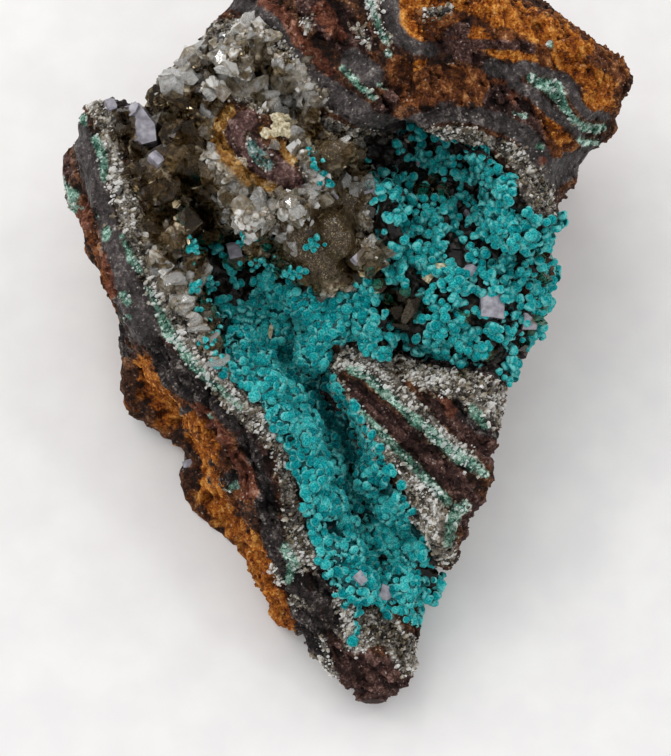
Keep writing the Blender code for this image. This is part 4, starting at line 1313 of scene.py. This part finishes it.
SMOKY_ONES = [
    (120, 114, 2.2, 1.6, -0.2, 0.2), (128, 122, 2.6, 1.6, 0.2, 0.1), (120, 124, 2.6, 1.8, -0.2, 0.0),
    (122, 134, 3.2, 2.4, 0.0, -0.2), (160, 92, 3.0, 2.4, -0.4, 0.4),
    (540, 262, 2.4, 3.4, 0.9, 0.0), (540, 276, 2.4, 3.2, 0.9, -0.1), (532, 318, 2.8, 4.0, 1.0, -0.2),
    (526, 330, 2.6, 4.2, 0.9, -0.3), (520, 344, 2.2, 3.4, 0.9, -0.4),
    (128, 130, 4.2, 2.6, 0.1, 0.3), (136, 148, 3.4, 2.4, 0.3, 0.0), (122, 146, 2.6, 2.0, -0.2, 0.1),
    (138, 170, 3.2, 2.4, 0.4, 0.0), (146, 190, 2.6, 2.2, 0.4, -0.1), (160, 184, 2.6, 2.8, 0.0, 0.4),
    (176, 96, 4.4, 3.0, -0.2, 0.4), (192, 108, 3.8, 2.8, 0.1, 0.1), (168, 122, 3.8, 3.0, 0.0, 0.5),
    (182, 132, 4.6, 3.4, 0.3, 0.2), (196, 134, 3.4, 3.0, 0.4, -0.1), (172, 158, 4.4, 3.2, -0.2, 0.2),
    (192, 160, 5.0, 3.2, 0.3, 0.0), (206, 176, 4.0, 3.0, 0.2, -0.3), (182, 186, 5.0, 3.2, -0.3, 0.0),
    (174, 212, 3.8, 3.0, -0.4, -0.2), (198, 204, 4.4, 3.0, 0.1, -0.2), (214, 214, 4.0, 2.8, 0.2, -0.3),
    (186, 226, 3.4, 2.6, 0.0, -0.3), (206, 232, 3.8, 2.4, 0.2, -0.2), (226, 196, 2.6, 2.0, 0.2, -0.4),
    (164, 240, 3.0, 2.6, 0.3, 0.1), (240, 240, 3.2, 2.2, 0.0, -0.2), (262, 236, 3.2, 2.2, 0.1, -0.2),
    (256, 66, 2.6, 2.0, 0.3, 0.2), (268, 84, 2.8, 2.2, 0.3, -0.2), (300, 112, 2.4, 2.2, 0.0, -0.4),
    (404, 298, 3.4, 3.0, -0.2, 0.3), (412, 312, 3.2, 3.0, 0.4, -0.3), (396, 312, 3.0, 2.8, -0.4, -0.2),
    (390, 300, 2.4, 2.4, -0.3, 0.3), (404, 324, 2.8, 2.4, 0.1, -0.4), (543, 291, 2.6, 2.6, 0.6, 0.1),
    (545, 248, 2.4, 2.6, 0.7, 0.1), (541, 306, 2.2, 2.2, 0.6, -0.1), (488, 357, 2.8, 2.0, 0.2, -0.2),
    (464, 380, 2.0, 1.6, 0.2, -0.2), (466, 320, 2.6, 2.0, 0.1, 0.4), (440, 192, 4.2, 2.0, 0.0, 0.1),
    (424, 190, 2.8, 2.0, -0.2, 0.2), (356, 276, 3.0, 1.8, 0.0, 0.0), (378, 286, 2.8, 1.8, 0.2, 0.1),
]
# Faces with a painted reflection of the sky, as rows of (x, y, width, length, lean right, lean up).
PAINTED_REFLECTION_ONES = [
    (143, 129, 6.8, 4.4, 0.0, 0.15), (136, 113, 2.2, 2.4, -0.3, 0.4), (146, 142, 1.2, 1.4, 0.3, -0.2),
    (157, 160, 2.2, 2.2, 0.2, 0.3), (156, 200, 1.1, 2.8, 0.2, 1.4), (194, 228, 1.4, 1.6, 0.3, 0.3),
    (236, 250, 2.8, 1.4, 0.1, 0.1), (361, 260, 2.6, 1.4, 0.3, 0.2), (492, 306, 4.0, 1.8, 0.15, 0.1),
    (470, 270, 1.8, 1.6, -0.1, 0.2), (528, 322, 2.6, 2.2, 0.3, 0.1), (412, 198, 0.8, 1.6, 2.0, -0.8),
    (467, 214, 1.1, 2.6, 0.8, -1.4), (468, 177, 0.7, 1.8, 0.8, 1.4), (452, 164, 0.9, 1.3, 0.3, 0.9),
    (361, 578, 2.0, 1.4, 0.1, 0.3), (385, 592, 2.4, 1.2, 0.5, -0.6), (331, 190, 0.5, 2.4, 1.4, -1.8),
    (184, 472, 1.6, 1.6, -0.6, 0.1), (112, 107, 2.0, 1.6, 0.2, 0.4), (271, 110, 1.4, 1.4, 0.2, 0.2),
    (370, 196, 1.6, 1.2, 0.0, 0.1), (418, 164, 0.6, 0.8, 0.2, 0.5), (222, 318, 0.9, 0.9, 0.0, 0.2),
    (240, 362, 1.0, 0.9, 0.1, 0.2),
]
planted("clear_quartz_crystals", CRYSTALS + SHARDS, CLEAR_ONES, clear_quartz, 81)
milky_ones = planted("milky_quartz_blocks", SHARDS, MILKY_ONES, milky_quartz, 85)
write_values(milky_ones.data, tone=0.75 + 0.2 * kept(milky_ones.data, "tone"))
planted("smoky_quartz_large", SHARDS + CRYSTALS[:1], SMOKY_ONES, smoky_quartz, 82)
planted("sky_lit_faces", BLOCKS, PAINTED_REFLECTION_ONES, painted_sky_reflection_quartz, 83, rise=0.3)

# %% [markdown]
# ### Combs and druses
# The smaller crystals are sprinkled. The comb's fibres all lean into the hollow, and round the
# knob they stand away from its middle, as they grew from it. Their whiteness changes slowly
# from place to place, with the bright patches where the photograph has them.

# %% Which way a comb points, and how white it is
KNOB_MIDDLE = from_photo([(258, 150, 0)])[0][:2]
INTO_HOLLOW = (0.84, 0.54)  # right and up the face


def combed(places, normals, degrees, rng, lift=0.5):
    """Axes that point into the hollow, or away from the knob's middle, and out of the face a little."""
    away = seen(places) - KNOB_MIDDLE
    far = np.linalg.norm(away, axis=1, keepdims=True) + 1e-6
    near = step(-far, -16.0, -12.0)
    flat = near * away / far + (1 - near) * np.array(INTO_HOLLOW)
    turn = np.array(FACE.to_3x3().normalized())
    flat = np.c_[flat, np.full(len(flat), lift)] @ turn.T
    return leaning(flat + 0.5 * normals, degrees, rng)


def whiteness(places, rng, base):
    """A tone from 0 to 1 for each place, that changes slowly, high in WHITE and low in DIM."""
    tone = base + 0.30 * swells(places, 2.4, 31) + 0.32 * rng.normal(size=len(places))
    tone += 0.5 * on_strokes(places, WHITE, -0.9, 0.5) - 0.3 * on_strokes(places, DIM, -1.2, 0.5)
    return np.clip(tone, 0.02, 1)


print("the knob's middle is at", tuple(round(x, 1) for x in KNOB_MIDDLE), "mm on the face")

# %% The comb on the rock
rng = np.random.default_rng(21)
weight = step(kept(rock, "quartz"), -0.7, 0.2) * (1 - step(kept(rock, "chip"), -0.6, 0.1))
weight *= 1 - step(kept(rock, "border"), -0.4, 0.2)
weight = np.maximum(weight, 0.8 * step(kept(rock, "green"), -0.1, 0.4))
weight = np.maximum(weight, 0.7 * step(kept(rock, "core"), -1.0, 0.5))
spots = sprinkle(rock, weight, count=32000, gap=0.36, seed=22)
places, normals = with_room(*spots, start=0.8, reach=1.5, most=8200)
widths = 0.26 + 0.62 * rng.random(len(places)) ** 2.5
comb = grow(
    "milky_quartz_comb", FIBRES, places, combed(places, normals, 40, rng), widths,
    widths * rng.uniform(0.8, 2.1, len(places)), 23, tones=whiteness(places, rng, 0.54),
)
write_values(comb, green=zones_of(read(comb.vertices, "co"))["green"])
new_piece("milky_quartz_comb", comb, milky_quartz)

# %% The druse on the knob and inside the rim
rng = np.random.default_rng(31)
lining_points = read(lining.vertices, "co")
off_chip = 1 - on_strokes(lining_points, CHIP + CHIP_BORDER, -1.3, -0.6)
off_hump = 1 - on_strokes(lining_points, HUMP, -0.6, 0.6)
weight = (1 - step(kept(lining, "channel"), -1.2, 0.4)) * off_chip * off_hump
spots = sprinkle(lining, weight, count=14000, gap=0.5, seed=32)
places, normals = with_room(*spots, start=1.0, reach=2.0, most=3600)
widths = 0.36 + 1.25 * rng.random(len(places)) ** 3
druse = grow(
    "milky_quartz_druse", FIBRES + SPLINTERS, places, combed(places, normals, 45, rng, 0.8), widths,
    widths * rng.uniform(0.9, 2.2, len(places)), 33, tones=whiteness(places, rng, 0.68),
)
write_values(druse, green=np.full(len(druse.vertices), FAR_OUTSIDE))
new_piece("milky_quartz_druse", druse, milky_quartz)

# %% Small clear crystals among them
rng = np.random.default_rng(35)
spots = sprinkle(lining, weight, count=3000, gap=1.2, seed=36)
places, normals = with_room(*spots, start=1.0, reach=2.0, most=460)
widths = rng.uniform(0.9, 2.6, len(places))
clear = grow(
    "clear_quartz_small", CRYSTALS + SHARDS, places, combed(places, normals, 35, rng, 0.8), widths,
    widths * rng.uniform(0.9, 1.8, len(places)), 37,
)
new_piece("clear_quartz_small", clear, clear_quartz)

# %% Small smoky ones in the channel
rng = np.random.default_rng(41)
weight = step(kept(lining, "channel"), -0.8, 0.4) * off_chip * off_hump
spots = sprinkle(lining, weight, count=3000, gap=1.3, seed=42)
places, normals = with_room(*spots, start=1.2, reach=2.5, most=480)
widths = rng.uniform(1.0, 3.0, len(places))
smoky = grow(
    "smoky_quartz_small", SHARDS + SPLINTERS, places, leaning(normals, 32, rng), widths,
    widths * rng.uniform(0.8, 1.6, len(places)), 43,
)
new_piece("smoky_quartz_small", smoky, smoky_quartz)

# %% [markdown]
# ### Cream clay
# A little cream clay sits beside the chip in the knob, with a sliver of it in the trough and two
# specks in the chamber. It is soft and finely grained, so it gets rough rounded lumps, a high
# roughness and no gloss, and it stops the eye among all the glassy faces.


# %% Clay lumps and specks
def lump(rng):
    """A rough lump of 320 faces."""
    shape = bmesh.new()
    bmesh.ops.create_icosphere(shape, subdivisions=3, radius=0.5)
    shift = Vector((rng.uniform(0, 50), 0, 0))
    for v in shape.verts:
        v.co *= 1 + 0.45 * noise.noise(v.co * 4.0 + shift) + 0.25 * noise.noise(v.co * 11.0 + shift)
    return template(shape)


CREAM, CREAM_RELIEF = 0.5, 0.2  # mm
cream_clay = new_material("cream_clay")
where = add(cream_clay, "TexCoord").outputs["Object"]
grain = add(cream_clay, "TexNoise", links={"Vector": where, "Scale": 1000 / CREAM, "Detail": 4.0})
colour = add(
    cream_clay,
    "ValToRGB",
    links={"Fac": grain},
    stops=[(0.3, "#7c6c49"), (0.5, "#bcae8c"), (0.68, "#e3dac0")],
)
relief = add(cream_clay, "Bump", links={"Strength": 0.8, "Distance": CREAM_RELIEF * MM, "Height": grain})
clay = add(cream_clay, "BsdfPrincipled", links={"Base Color": colour, "Roughness": 0.75, "Normal": relief})
add(cream_clay, "OutputMaterial", links={"Surface": clay})
LUMPS = [
    (277, 121, 2.4, 1.0, 0.1, 0.2), (284, 129, 2.6, 1.0, 0.2, 0.0), (274, 131, 2.2, 1.0, 0.0, 0.0),
    (266, 133, 1.6, 0.8, -0.2, -0.1), (286, 120, 1.6, 0.9, 0.3, 0.2), (270, 337, 0.7, 3.2, 0.3, 3.0),
]
TAN_FACES = [(441, 270, 2.0, 1.2, 0.2, 0.1), (428, 277, 1.6, 1.2, -0.2, 0.0)]
planted("tan_faces", BLOCKS, TAN_FACES, cream_clay, 86)
rng = random.Random(9)
planted("cream_lumps", [lump(rng) for _ in range(4)], LUMPS, cream_clay, 84, rise=0.25)

# %% [markdown]
# ## The chrysocolla
# Chrysocolla is a hydrous copper silicate that never makes crystals one can see. It settled on
# the quartz as little balls of fibres, 1 to 2 mm across, each growing until it met the next.
# In the trough they ran together into overlapping scales, and in the chamber they stand apart
# in bunches, with the dark quartz showing between them. A ball's fibres end at its skin, which
# makes it look like velvet: its middle is deep teal, and it has no gloss. The pale rim that
# velvet shows comes partly from the shader's sheen and partly from a painted sheen: a pale
# colour laid on each ball's rim.

# %% Chrysocolla's finish
VELVET = 0.28  # mm, the clumps of fibres that show as a soft grain
TUFT = 0.9  # mm, the slower change from tuft to tuft
VELVET_RELIEF = 0.2  # mm
chrysocolla = new_material("chrysocolla")
where = add(chrysocolla, "TexCoord").outputs["Object"]
fibre_noise = add(
    chrysocolla, "TexNoise", links={"Vector": where, "Scale": 1000 / VELVET, "Detail": 3.0, "Roughness": 0.75}
)
tuft = add(chrysocolla, "TexNoise", links={"Vector": where, "Scale": 1000 / TUFT, "Detail": 2.0})
tone = add(chrysocolla, "Attribute", {"attribute_name": "tone"}).outputs["Fac"]
# Painted sheen: where each ball's template is widest, its rim is laid over in pale teal, for the sheen that
# velvet shows at its edges.
rim = add(chrysocolla, "Attribute", {"attribute_name": "rim"}).outputs["Fac"]
frayed_painted_sheen = add(chrysocolla, "Math", {"operation": "MULTIPLY_ADD"}, {0: tuft, 1: 0.5, 2: rim})
edge = add(
    chrysocolla, "MapRange", SMOOTH, {"Value": frayed_painted_sheen, "From Min": 1.08, "From Max": 1.30, "To Max": 0.68}
)
wash = add(chrysocolla, "Math", {"operation": "MULTIPLY_ADD"}, {0: fibre_noise, 1: 2.4, 2: -1.2})
level = add(chrysocolla, "Math", {"operation": "MULTIPLY_ADD"}, {0: tone, 1: 0.6, 2: wash})
level = add(chrysocolla, "Math", {"operation": "ADD"}, {0: level, 1: 0.2})
body = add(
    chrysocolla,
    "ValToRGB",
    links={"Fac": level},
    stops=[(0.0, "#01464c"), (0.32, "#038086"), (0.62, "#0fa5a6"), (1.0, "#67d2cd")],
)
colour = add(chrysocolla, "Mix", COLOURS, {"Factor": edge, "A": body, "B": "#86dad4"})
relief = add(
    chrysocolla, "Bump", links={"Strength": 1.0, "Distance": VELVET_RELIEF * MM, "Height": fibre_noise}
)
velvet = add(
    chrysocolla,
    "BsdfPrincipled",
    links={
        "Base Color": colour, "Roughness": 0.9, "IOR": 1.45, "Specular IOR Level": 0.06, "Normal": relief,
        "Sheen Weight": 0.5, "Sheen Roughness": 0.35, "Sheen Tint": "#8fe0da",
    },
)
add(chrysocolla, "OutputMaterial", links={"Surface": velvet})
print("chrysocolla has", len(chrysocolla.node_tree.nodes), "nodes")

# %% [markdown]
# ### The bed that the balls grew on
# Between the balls one sees what they grew on: thin dark teal chrysocolla in the trough, dark
# quartz in the chamber, painted darker still as painted shade between the balls, and grey-brown
# quartz on the lip of its roof. It is a skin like the lining's, and strokes say which finish is
# where. Small holes are pressed into it, where the photograph shows a deep gap between the balls,
# and painted near-black as painted shade.

# %% The bed that the balls grew on: thin chrysocolla in the trough, bare quartz in the chamber
CRUST_GRAIN = 0.8  # mm
# The dark ramp is the chamber's smoky quartz, painted nearly black as painted shade between the balls.
CRUST_RAMPS = {
    "dark": [(0.32, "#040303"), (0.5, "#120e0a"), (0.72, "#332b21")],
    "teal": [(0.3, "#03292c"), (0.5, "#0a4c50"), (0.72, "#176e73")],
    "lip": [(0.3, "#1c1713"), (0.5, "#4b4139"), (0.7, "#a39b90")],
}
crust_bed = new_material("chrysocolla_over_quartz")
where = add(crust_bed, "TexCoord").outputs["Object"]
grain = add(
    crust_bed,
    "TexNoise",
    links={"Vector": where, "Scale": 1000 / CRUST_GRAIN, "Detail": 5.0, "Roughness": 0.6},
)
shades = {n: add(crust_bed, "ValToRGB", links={"Fac": grain}, stops=s) for n, s in CRUST_RAMPS.items()}
dome = hump_colour(crust_bed, where)
colour = laid_over(crust_bed, shades["dark"], shades["teal"], "covered", grain, 1.2)
colour = laid_over(crust_bed, colour, shades["lip"], "lip", grain, 1.2, soft=0.5)
# Painted shade: near-black laid over the holes, for the shade deep in the gaps between the balls.
colour = laid_over(crust_bed, colour, "#020606", "hole", grain, 0.8)
colour = laid_over(crust_bed, colour, dome, "hump", grain, 1.2, soft=0.8)
relief = add(crust_bed, "Bump", links={"Strength": 0.6, "Distance": BED_RELIEF * MM, "Height": grain})
bed = add(
    crust_bed,
    "BsdfPrincipled",
    links={"Base Color": colour, "Roughness": 0.3, "IOR": 1.5, "Specular IOR Level": 0.3, "Normal": relief},
)
add(crust_bed, "OutputMaterial", links={"Surface": bed})
print("the bed's finish has", len(crust_bed.node_tree.nodes), "nodes")

# %% Where the balls run together, and where few grew, in strokes of pixels
COVERED = [
    [(226, 316, 12), (240, 336, 20), (260, 370, 28), (286, 412, 28), (306, 452, 26), (326, 500, 40),
     (352, 546, 44), (384, 584, 34), (406, 606, 18)],
    [(276, 308, 24), (306, 330, 36), (318, 380, 34), (330, 430, 30), (366, 490, 40), (400, 540, 30)],
    [(340, 300, 30), (348, 340, 22)],
    [(494, 140, 6), (500, 160, 7), (504, 184, 7)],
]
BARE = [
    [(340, 176, 20), (330, 210, 26), (330, 250, 26), (300, 262, 14)],
    [(330, 140, 10), (356, 176, 12)],
    [(390, 150, 8), (412, 168, 9)],
    [(420, 172, 8), (452, 190, 9), (470, 236, 9), (462, 214, 9)],
    [(404, 308, 15), (408, 322, 12)],
    [(402, 350, 10), (430, 358, 8)],
    [(548, 300, 8), (552, 250, 5)],
]
HOLES = [
    [(354, 512, 4), (368, 520, 5)], [(384, 558, 5)], [(398, 577, 5)], [(314, 515, 4)],
    [(328, 522, 3), (324, 530, 4)], [(390, 490, 4)], [(268, 316, 3)], [(325, 388, 5), (332, 396, 4)],
    [(310, 412, 3)], [(286, 440, 3)], [(347, 586, 3)], [(410, 500, 4)], [(338, 534, 3)],
    [(205, 322, 4), (222, 330, 4)], [(236, 338, 4)], [(228, 348, 3)], [(352, 470, 3)], [(372, 548, 3)],
    [(300, 470, 3)], [(336, 560, 3)],
]
# Painted shade: the deep fold under the ledge, where the scales are painted darker.
PAINTED_SHADE_FOLD = [[(314, 384, 10), (328, 400, 12), (340, 418, 11), (350, 438, 9), (358, 456, 7)]]
LIP = [
    [(520, 156, 10), (530, 172, 15), (536, 190, 16), (546, 204, 14)],
    [(342, 122, 8), (370, 130, 8), (400, 130, 8)], [(430, 126, 7), (460, 124, 6), (490, 132, 6)],
]
print(len(COVERED + BARE + HOLES + PAINTED_SHADE_FOLD + LIP), "strokes on the crust")

# %% The crust's skin
crust = even_skin("chrysocolla_crust", BED_SQUARE, 4)
points, normals = read(crust.vertices, "co"), read(crust.vertex_normals, "vector")
hump = depth_inside(seen(points), HUMP)
open_quartz = (1 - on_strokes(points, COVERED, -0.5, 0.5)) * (1 - 0.8 * step(hump, -0.8, 0.8))
push = 0.25 * swells(points, 1.6, 7) + 0.25 * walls(points, 2.0, 8) - 0.35
push += open_quartz * (1.2 * breaks(points, 2.6, 9) - 0.3) + 0.5 * step(hump, -2.0, 1.5)
push -= 1.6 * on_strokes(points, HOLES, -0.5, 0.5)
write_points(crust, points + normals * push[:, None] * MM)
smoothed(crust, hump > -0.5, 2)
keep_strokes(crust, points, covered=COVERED, bare=BARE, hump=HUMP, lip=LIP, hole=HOLES)
crust = thinned(crust, BED_TRIANGLES)
crust_piece = new_piece("chrysocolla_bed", crust, crust_bed)
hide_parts("chrysocolla_crust")
print("crust:", len(crust.polygons), "faces")

# %% [markdown]
# ### Scales and bunches
# Each ball is a sphere with a few soft bumps, cut off where it would be hidden. In the trough
# the balls overlap like scales, and half of them are a little flatter and lean the same way. In
# the chamber they are heaped in bunches of one to eight. They could be metaballs, but those
# melt into each other, and the dark lines between the balls are what one knows this crust by.


# %% Ball templates
def ball(rng, cut):
    """A ball of chrysocolla, one unit in radius, with a few soft bumps and no hidden foot."""
    shape = bmesh.new()
    bmesh.ops.create_icosphere(shape, subdivisions=2, radius=1.0)
    low = [face for face in shape.faces if face.calc_center_median().z < cut]
    bmesh.ops.delete(shape, geom=low, context="FACES")
    shift = Vector((rng.uniform(0, 50), 3, 7))
    for v in shape.verts:
        v.co *= 1 + 0.2 * noise.noise(v.co * 1.6 + shift) + 0.1 * noise.noise(v.co * 4.0 + shift)
    return template(shape)


rng = random.Random(5)
BALLS = [ball(rng, -0.45) for _ in range(8)]
SCALES = [ball(rng, -0.3) for _ in range(8)]
print("a ball has", len(BALLS[0][1]), "triangles, and a scale", len(SCALES[0][1]))

# %% Scales that run together in the trough
OVER_ROCK = [
    [(350, 404, 4), (360, 428, 5), (372, 450, 7), (386, 474, 8), (396, 498, 8), (400, 520, 9), (408, 544, 11),
     (418, 570, 11)],
    [(308, 506, 5), (316, 528, 7), (324, 548, 9), (332, 568, 9), (342, 588, 6)],
    [(345, 596, 3), (346, 606, 3)], [(356, 610, 4)], [(354, 626, 2), (355, 638, 2)],
    [(322, 370, 6), (330, 382, 6), (340, 394, 5)], [(214, 344, 5), (222, 360, 6), (231, 376, 5)],
    [(384, 604, 4), (398, 614, 5), (414, 618, 6), (424, 606, 7)], [(424, 634, 3)],
]
rng = np.random.default_rng(51)
in_hole = step(kept(crust, "hole"), -0.1, 0.3)
weight = step(kept(crust, "covered"), -0.8, 0.4) * (1 - step(kept(crust, "bare"), -0.5, 0.5)) * (1 - in_hole)
on_crust = sprinkle(crust, weight, count=20000, gap=0.76, seed=52)
rock_points = read(rock.vertices, "co")
weight = on_strokes(rock_points, OVER_ROCK, -0.2, 0.3) * (1 - on_strokes(rock_points, HOLES, -0.3, 0.3))
on_rock = sprinkle(rock, weight, count=4000, gap=0.76, seed=54)
spots = [np.concatenate(pair) for pair in zip(on_rock, on_crust)]
places, normals = with_room(*spots, start=1.2, reach=1.5, most=3700)
flat = rng.random(len(places)) < 0.5
widths = rng.uniform(0.48, 0.92, len(places)) * np.where(flat, 1.12, 1.0)
lift = (0.45 * swells(places, 3.2, 15) + rng.uniform(-0.1, 0.45, len(places)))[:, None] * MM
tilt = 0.35 * flat[:, None] * np.array(face_axis(0.7, -0.7, 0.0))
axes = leaning(normals + tilt, 18, rng)
# Painted shade: the scales in the fold get lower tones, so they are darker.
tones = np.clip(rng.random(len(places)) - 0.9 * on_strokes(places, PAINTED_SHADE_FOLD, -1.0, 0.8), 0, 1)
scales = grow(
    "chrysocolla_scales", SCALES, places + normals * lift, axes, widths,
    widths * np.where(flat, 0.78, 0.95), 53, smooth=True, tones=tones,
)
new_piece("chrysocolla_scales", scales, chrysocolla)

# %% Bunches that stand apart, in the chamber and at the head of the trough
SCATTERED = [
    [(190, 248, 6), (202, 244, 4)], [(200, 262, 5), (214, 256, 5)], [(217, 246, 5)],
    [(208, 272, 7), (224, 268, 7)], [(198, 282, 7), (210, 290, 9), (222, 300, 10)],
    [(206, 304, 8), (216, 318, 11), (224, 334, 10)], [(214, 338, 6), (222, 352, 7)],
    [(248, 246, 7)], [(264, 247, 3)], [(260, 262, 7), (268, 270, 7)], [(244, 268, 7)], [(232, 256, 3)],
    [(284, 268, 6)], [(294, 268, 5)], [(326, 124, 3)], [(305, 138, 2)], [(316, 136, 2)], [(311, 154, 2)],
    [(319, 166, 1.5)], [(320, 178, 1.5)], [(308, 244, 4), (320, 244, 3)], [(332, 196, 2)],
]
DENSE = [
    [(346, 282, 12), (352, 306, 18), (346, 336, 18), (366, 330, 14)],
    [(362, 262, 8), (384, 262, 10), (404, 268, 8)],
    [(368, 228, 9), (376, 244, 9), (396, 250, 9), (420, 250, 9), (440, 252, 7)],
    [(370, 182, 5), (388, 196, 7), (396, 206, 6)],
    [(412, 216, 8), (430, 214, 8), (424, 232, 7)],
    [(444, 214, 5)], [(421, 199, 4)], [(440, 204, 4)], [(408, 180, 6)],
    [(430, 266, 8), (446, 280, 11), (458, 296, 9)],
    [(480, 262, 11), (496, 280, 17), (520, 276, 14), (540, 270, 8)],
    [(440, 326, 8), (456, 336, 10), (462, 352, 9), (446, 368, 8)],
    [(492, 336, 12), (510, 330, 12)],
    [(520, 300, 8), (530, 312, 7)],
    [(460, 226, 5), (476, 228, 7), (492, 222, 8), (504, 232, 8), (520, 236, 8), (536, 240, 8)],
    [(492, 152, 6), (500, 166, 9), (502, 186, 9), (504, 210, 9), (520, 208, 8), (534, 214, 8), (544, 226, 7)],
    [(386, 340, 8), (376, 352, 7)], [(384, 360, 8), (394, 374, 5)], [(428, 342, 7)],
    [(436, 172, 5), (454, 181, 5)],
    [(470, 372, 5), (484, 370, 5)], [(470, 344, 6)], [(430, 295, 6), (440, 298, 6)],
    [(452, 136, 4)], [(468, 139, 5)], [(482, 142, 4)], [(488, 146, 4)], [(504, 370, 4)], [(498, 382, 5)],
]
CHAMBER_EDGE = [
    [(534, 246, 9), (540, 262, 8), (538, 282, 8), (534, 304, 9), (526, 326, 9), (512, 346, 9), (502, 366, 8)],
]
MOST_IN_BUNCH, BUNCH_HEIGHT = 8, (0.1, 1.7)  # balls, and mm above the bed
PIECE_TRIANGLES = 199000  # the most triangles that the bunches' piece gets; just under what one piece may have


def bunched(mesh, weight, count, gap, seed):
    """Bunches of one to eight places each, heaped on a mesh, and the axis of each place."""
    rng = np.random.default_rng(seed)
    spots = sprinkle(mesh, weight, count, gap, seed + 1)
    places, normals = with_room(*spots, start=1.2, reach=2.0)
    owner = np.repeat(np.arange(len(places)), rng.integers(1, MOST_IN_BUNCH + 1, len(places)))
    spread, axes = rng.normal(size=(len(owner), 3)), normals[owner]
    spread -= (spread * axes).sum(axis=1)[:, None] * axes
    height = rng.uniform(*BUNCH_HEIGHT, len(owner))[:, None]
    return places[owner] + (spread * (0.85 - 0.25 * height) + axes * height) * MM, axes


dense = on_strokes(read(crust.vertices, "co"), DENSE, -0.8, 0.5)
weight = (1 - step(kept(crust, "covered"), -0.2, 0.6)) * (1 - 0.99 * step(kept(crust, "bare"), -0.6, 0.6))
weight *= (0.04 + 0.96 * dense) * (1 - step(kept(crust, "lip"), -1.0, 0.0))
in_chamber = bunched(crust, weight, count=9000, gap=1.05, seed=61)
weight = on_strokes(lining_points, SCATTERED, -0.3, 0.3)
on_lining = bunched(lining, weight, count=1500, gap=1.3, seed=71)
weight = on_strokes(rock_points, CHAMBER_EDGE, -0.3, 0.5)
on_edge = bunched(rock, weight, count=300, gap=1.3, seed=75)
rng = np.random.default_rng(63)
balls, axes = (np.concatenate(group) for group in zip(on_lining, on_edge, in_chamber))
small = len(on_lining[0])
widths = np.r_[rng.uniform(0.34, 0.6, small), rng.uniform(0.45, 0.92, len(balls) - small)]
keep = apart(balls, 0.85 * widths)
print(keep.sum(), "balls in the bunches")
most = PIECE_TRIANGLES // len(BALLS[0][1])
balls, axes, widths = balls[keep][:most], axes[keep][:most], widths[keep][:most]
bunches = grow(
    "chrysocolla_bunches", BALLS, balls, leaning(axes, 30, rng), widths, widths * 0.97, 63, smooth=True,
    tones=0.28 + 0.57 * rng.random(len(balls)),
)
new_piece("chrysocolla_bunches", bunches, chrysocolla)

# %% [markdown]
# ### Quartz on the lip
# The crust stops a little under the lip of the chamber's roof, and the quartz comb shows again.
# It grows on the crust's own skin there, as the comb on the rock does, but it points any way.

# %% Quartz on the lip of the chamber, where the crust stops
rng = np.random.default_rng(91)
spots = sprinkle(crust, step(kept(crust, "lip"), -0.8, 0.3), count=3000, gap=0.42, seed=92)
places, normals = with_room(*spots, start=0.8, reach=1.5, most=900, standing=())
widths = 0.26 + 0.7 * rng.random(len(places)) ** 2.5
on_lip = grow(
    "milky_quartz_lip", FIBRES, places, leaning(normals, 50, rng), widths,
    widths * rng.uniform(0.8, 1.9, len(places)), 93, tones=whiteness(places, rng, 0.42),
)
write_values(on_lip, green=np.full(len(on_lip.vertices), FAR_OUTSIDE))
new_piece("milky_quartz_lip", on_lip, milky_quartz)
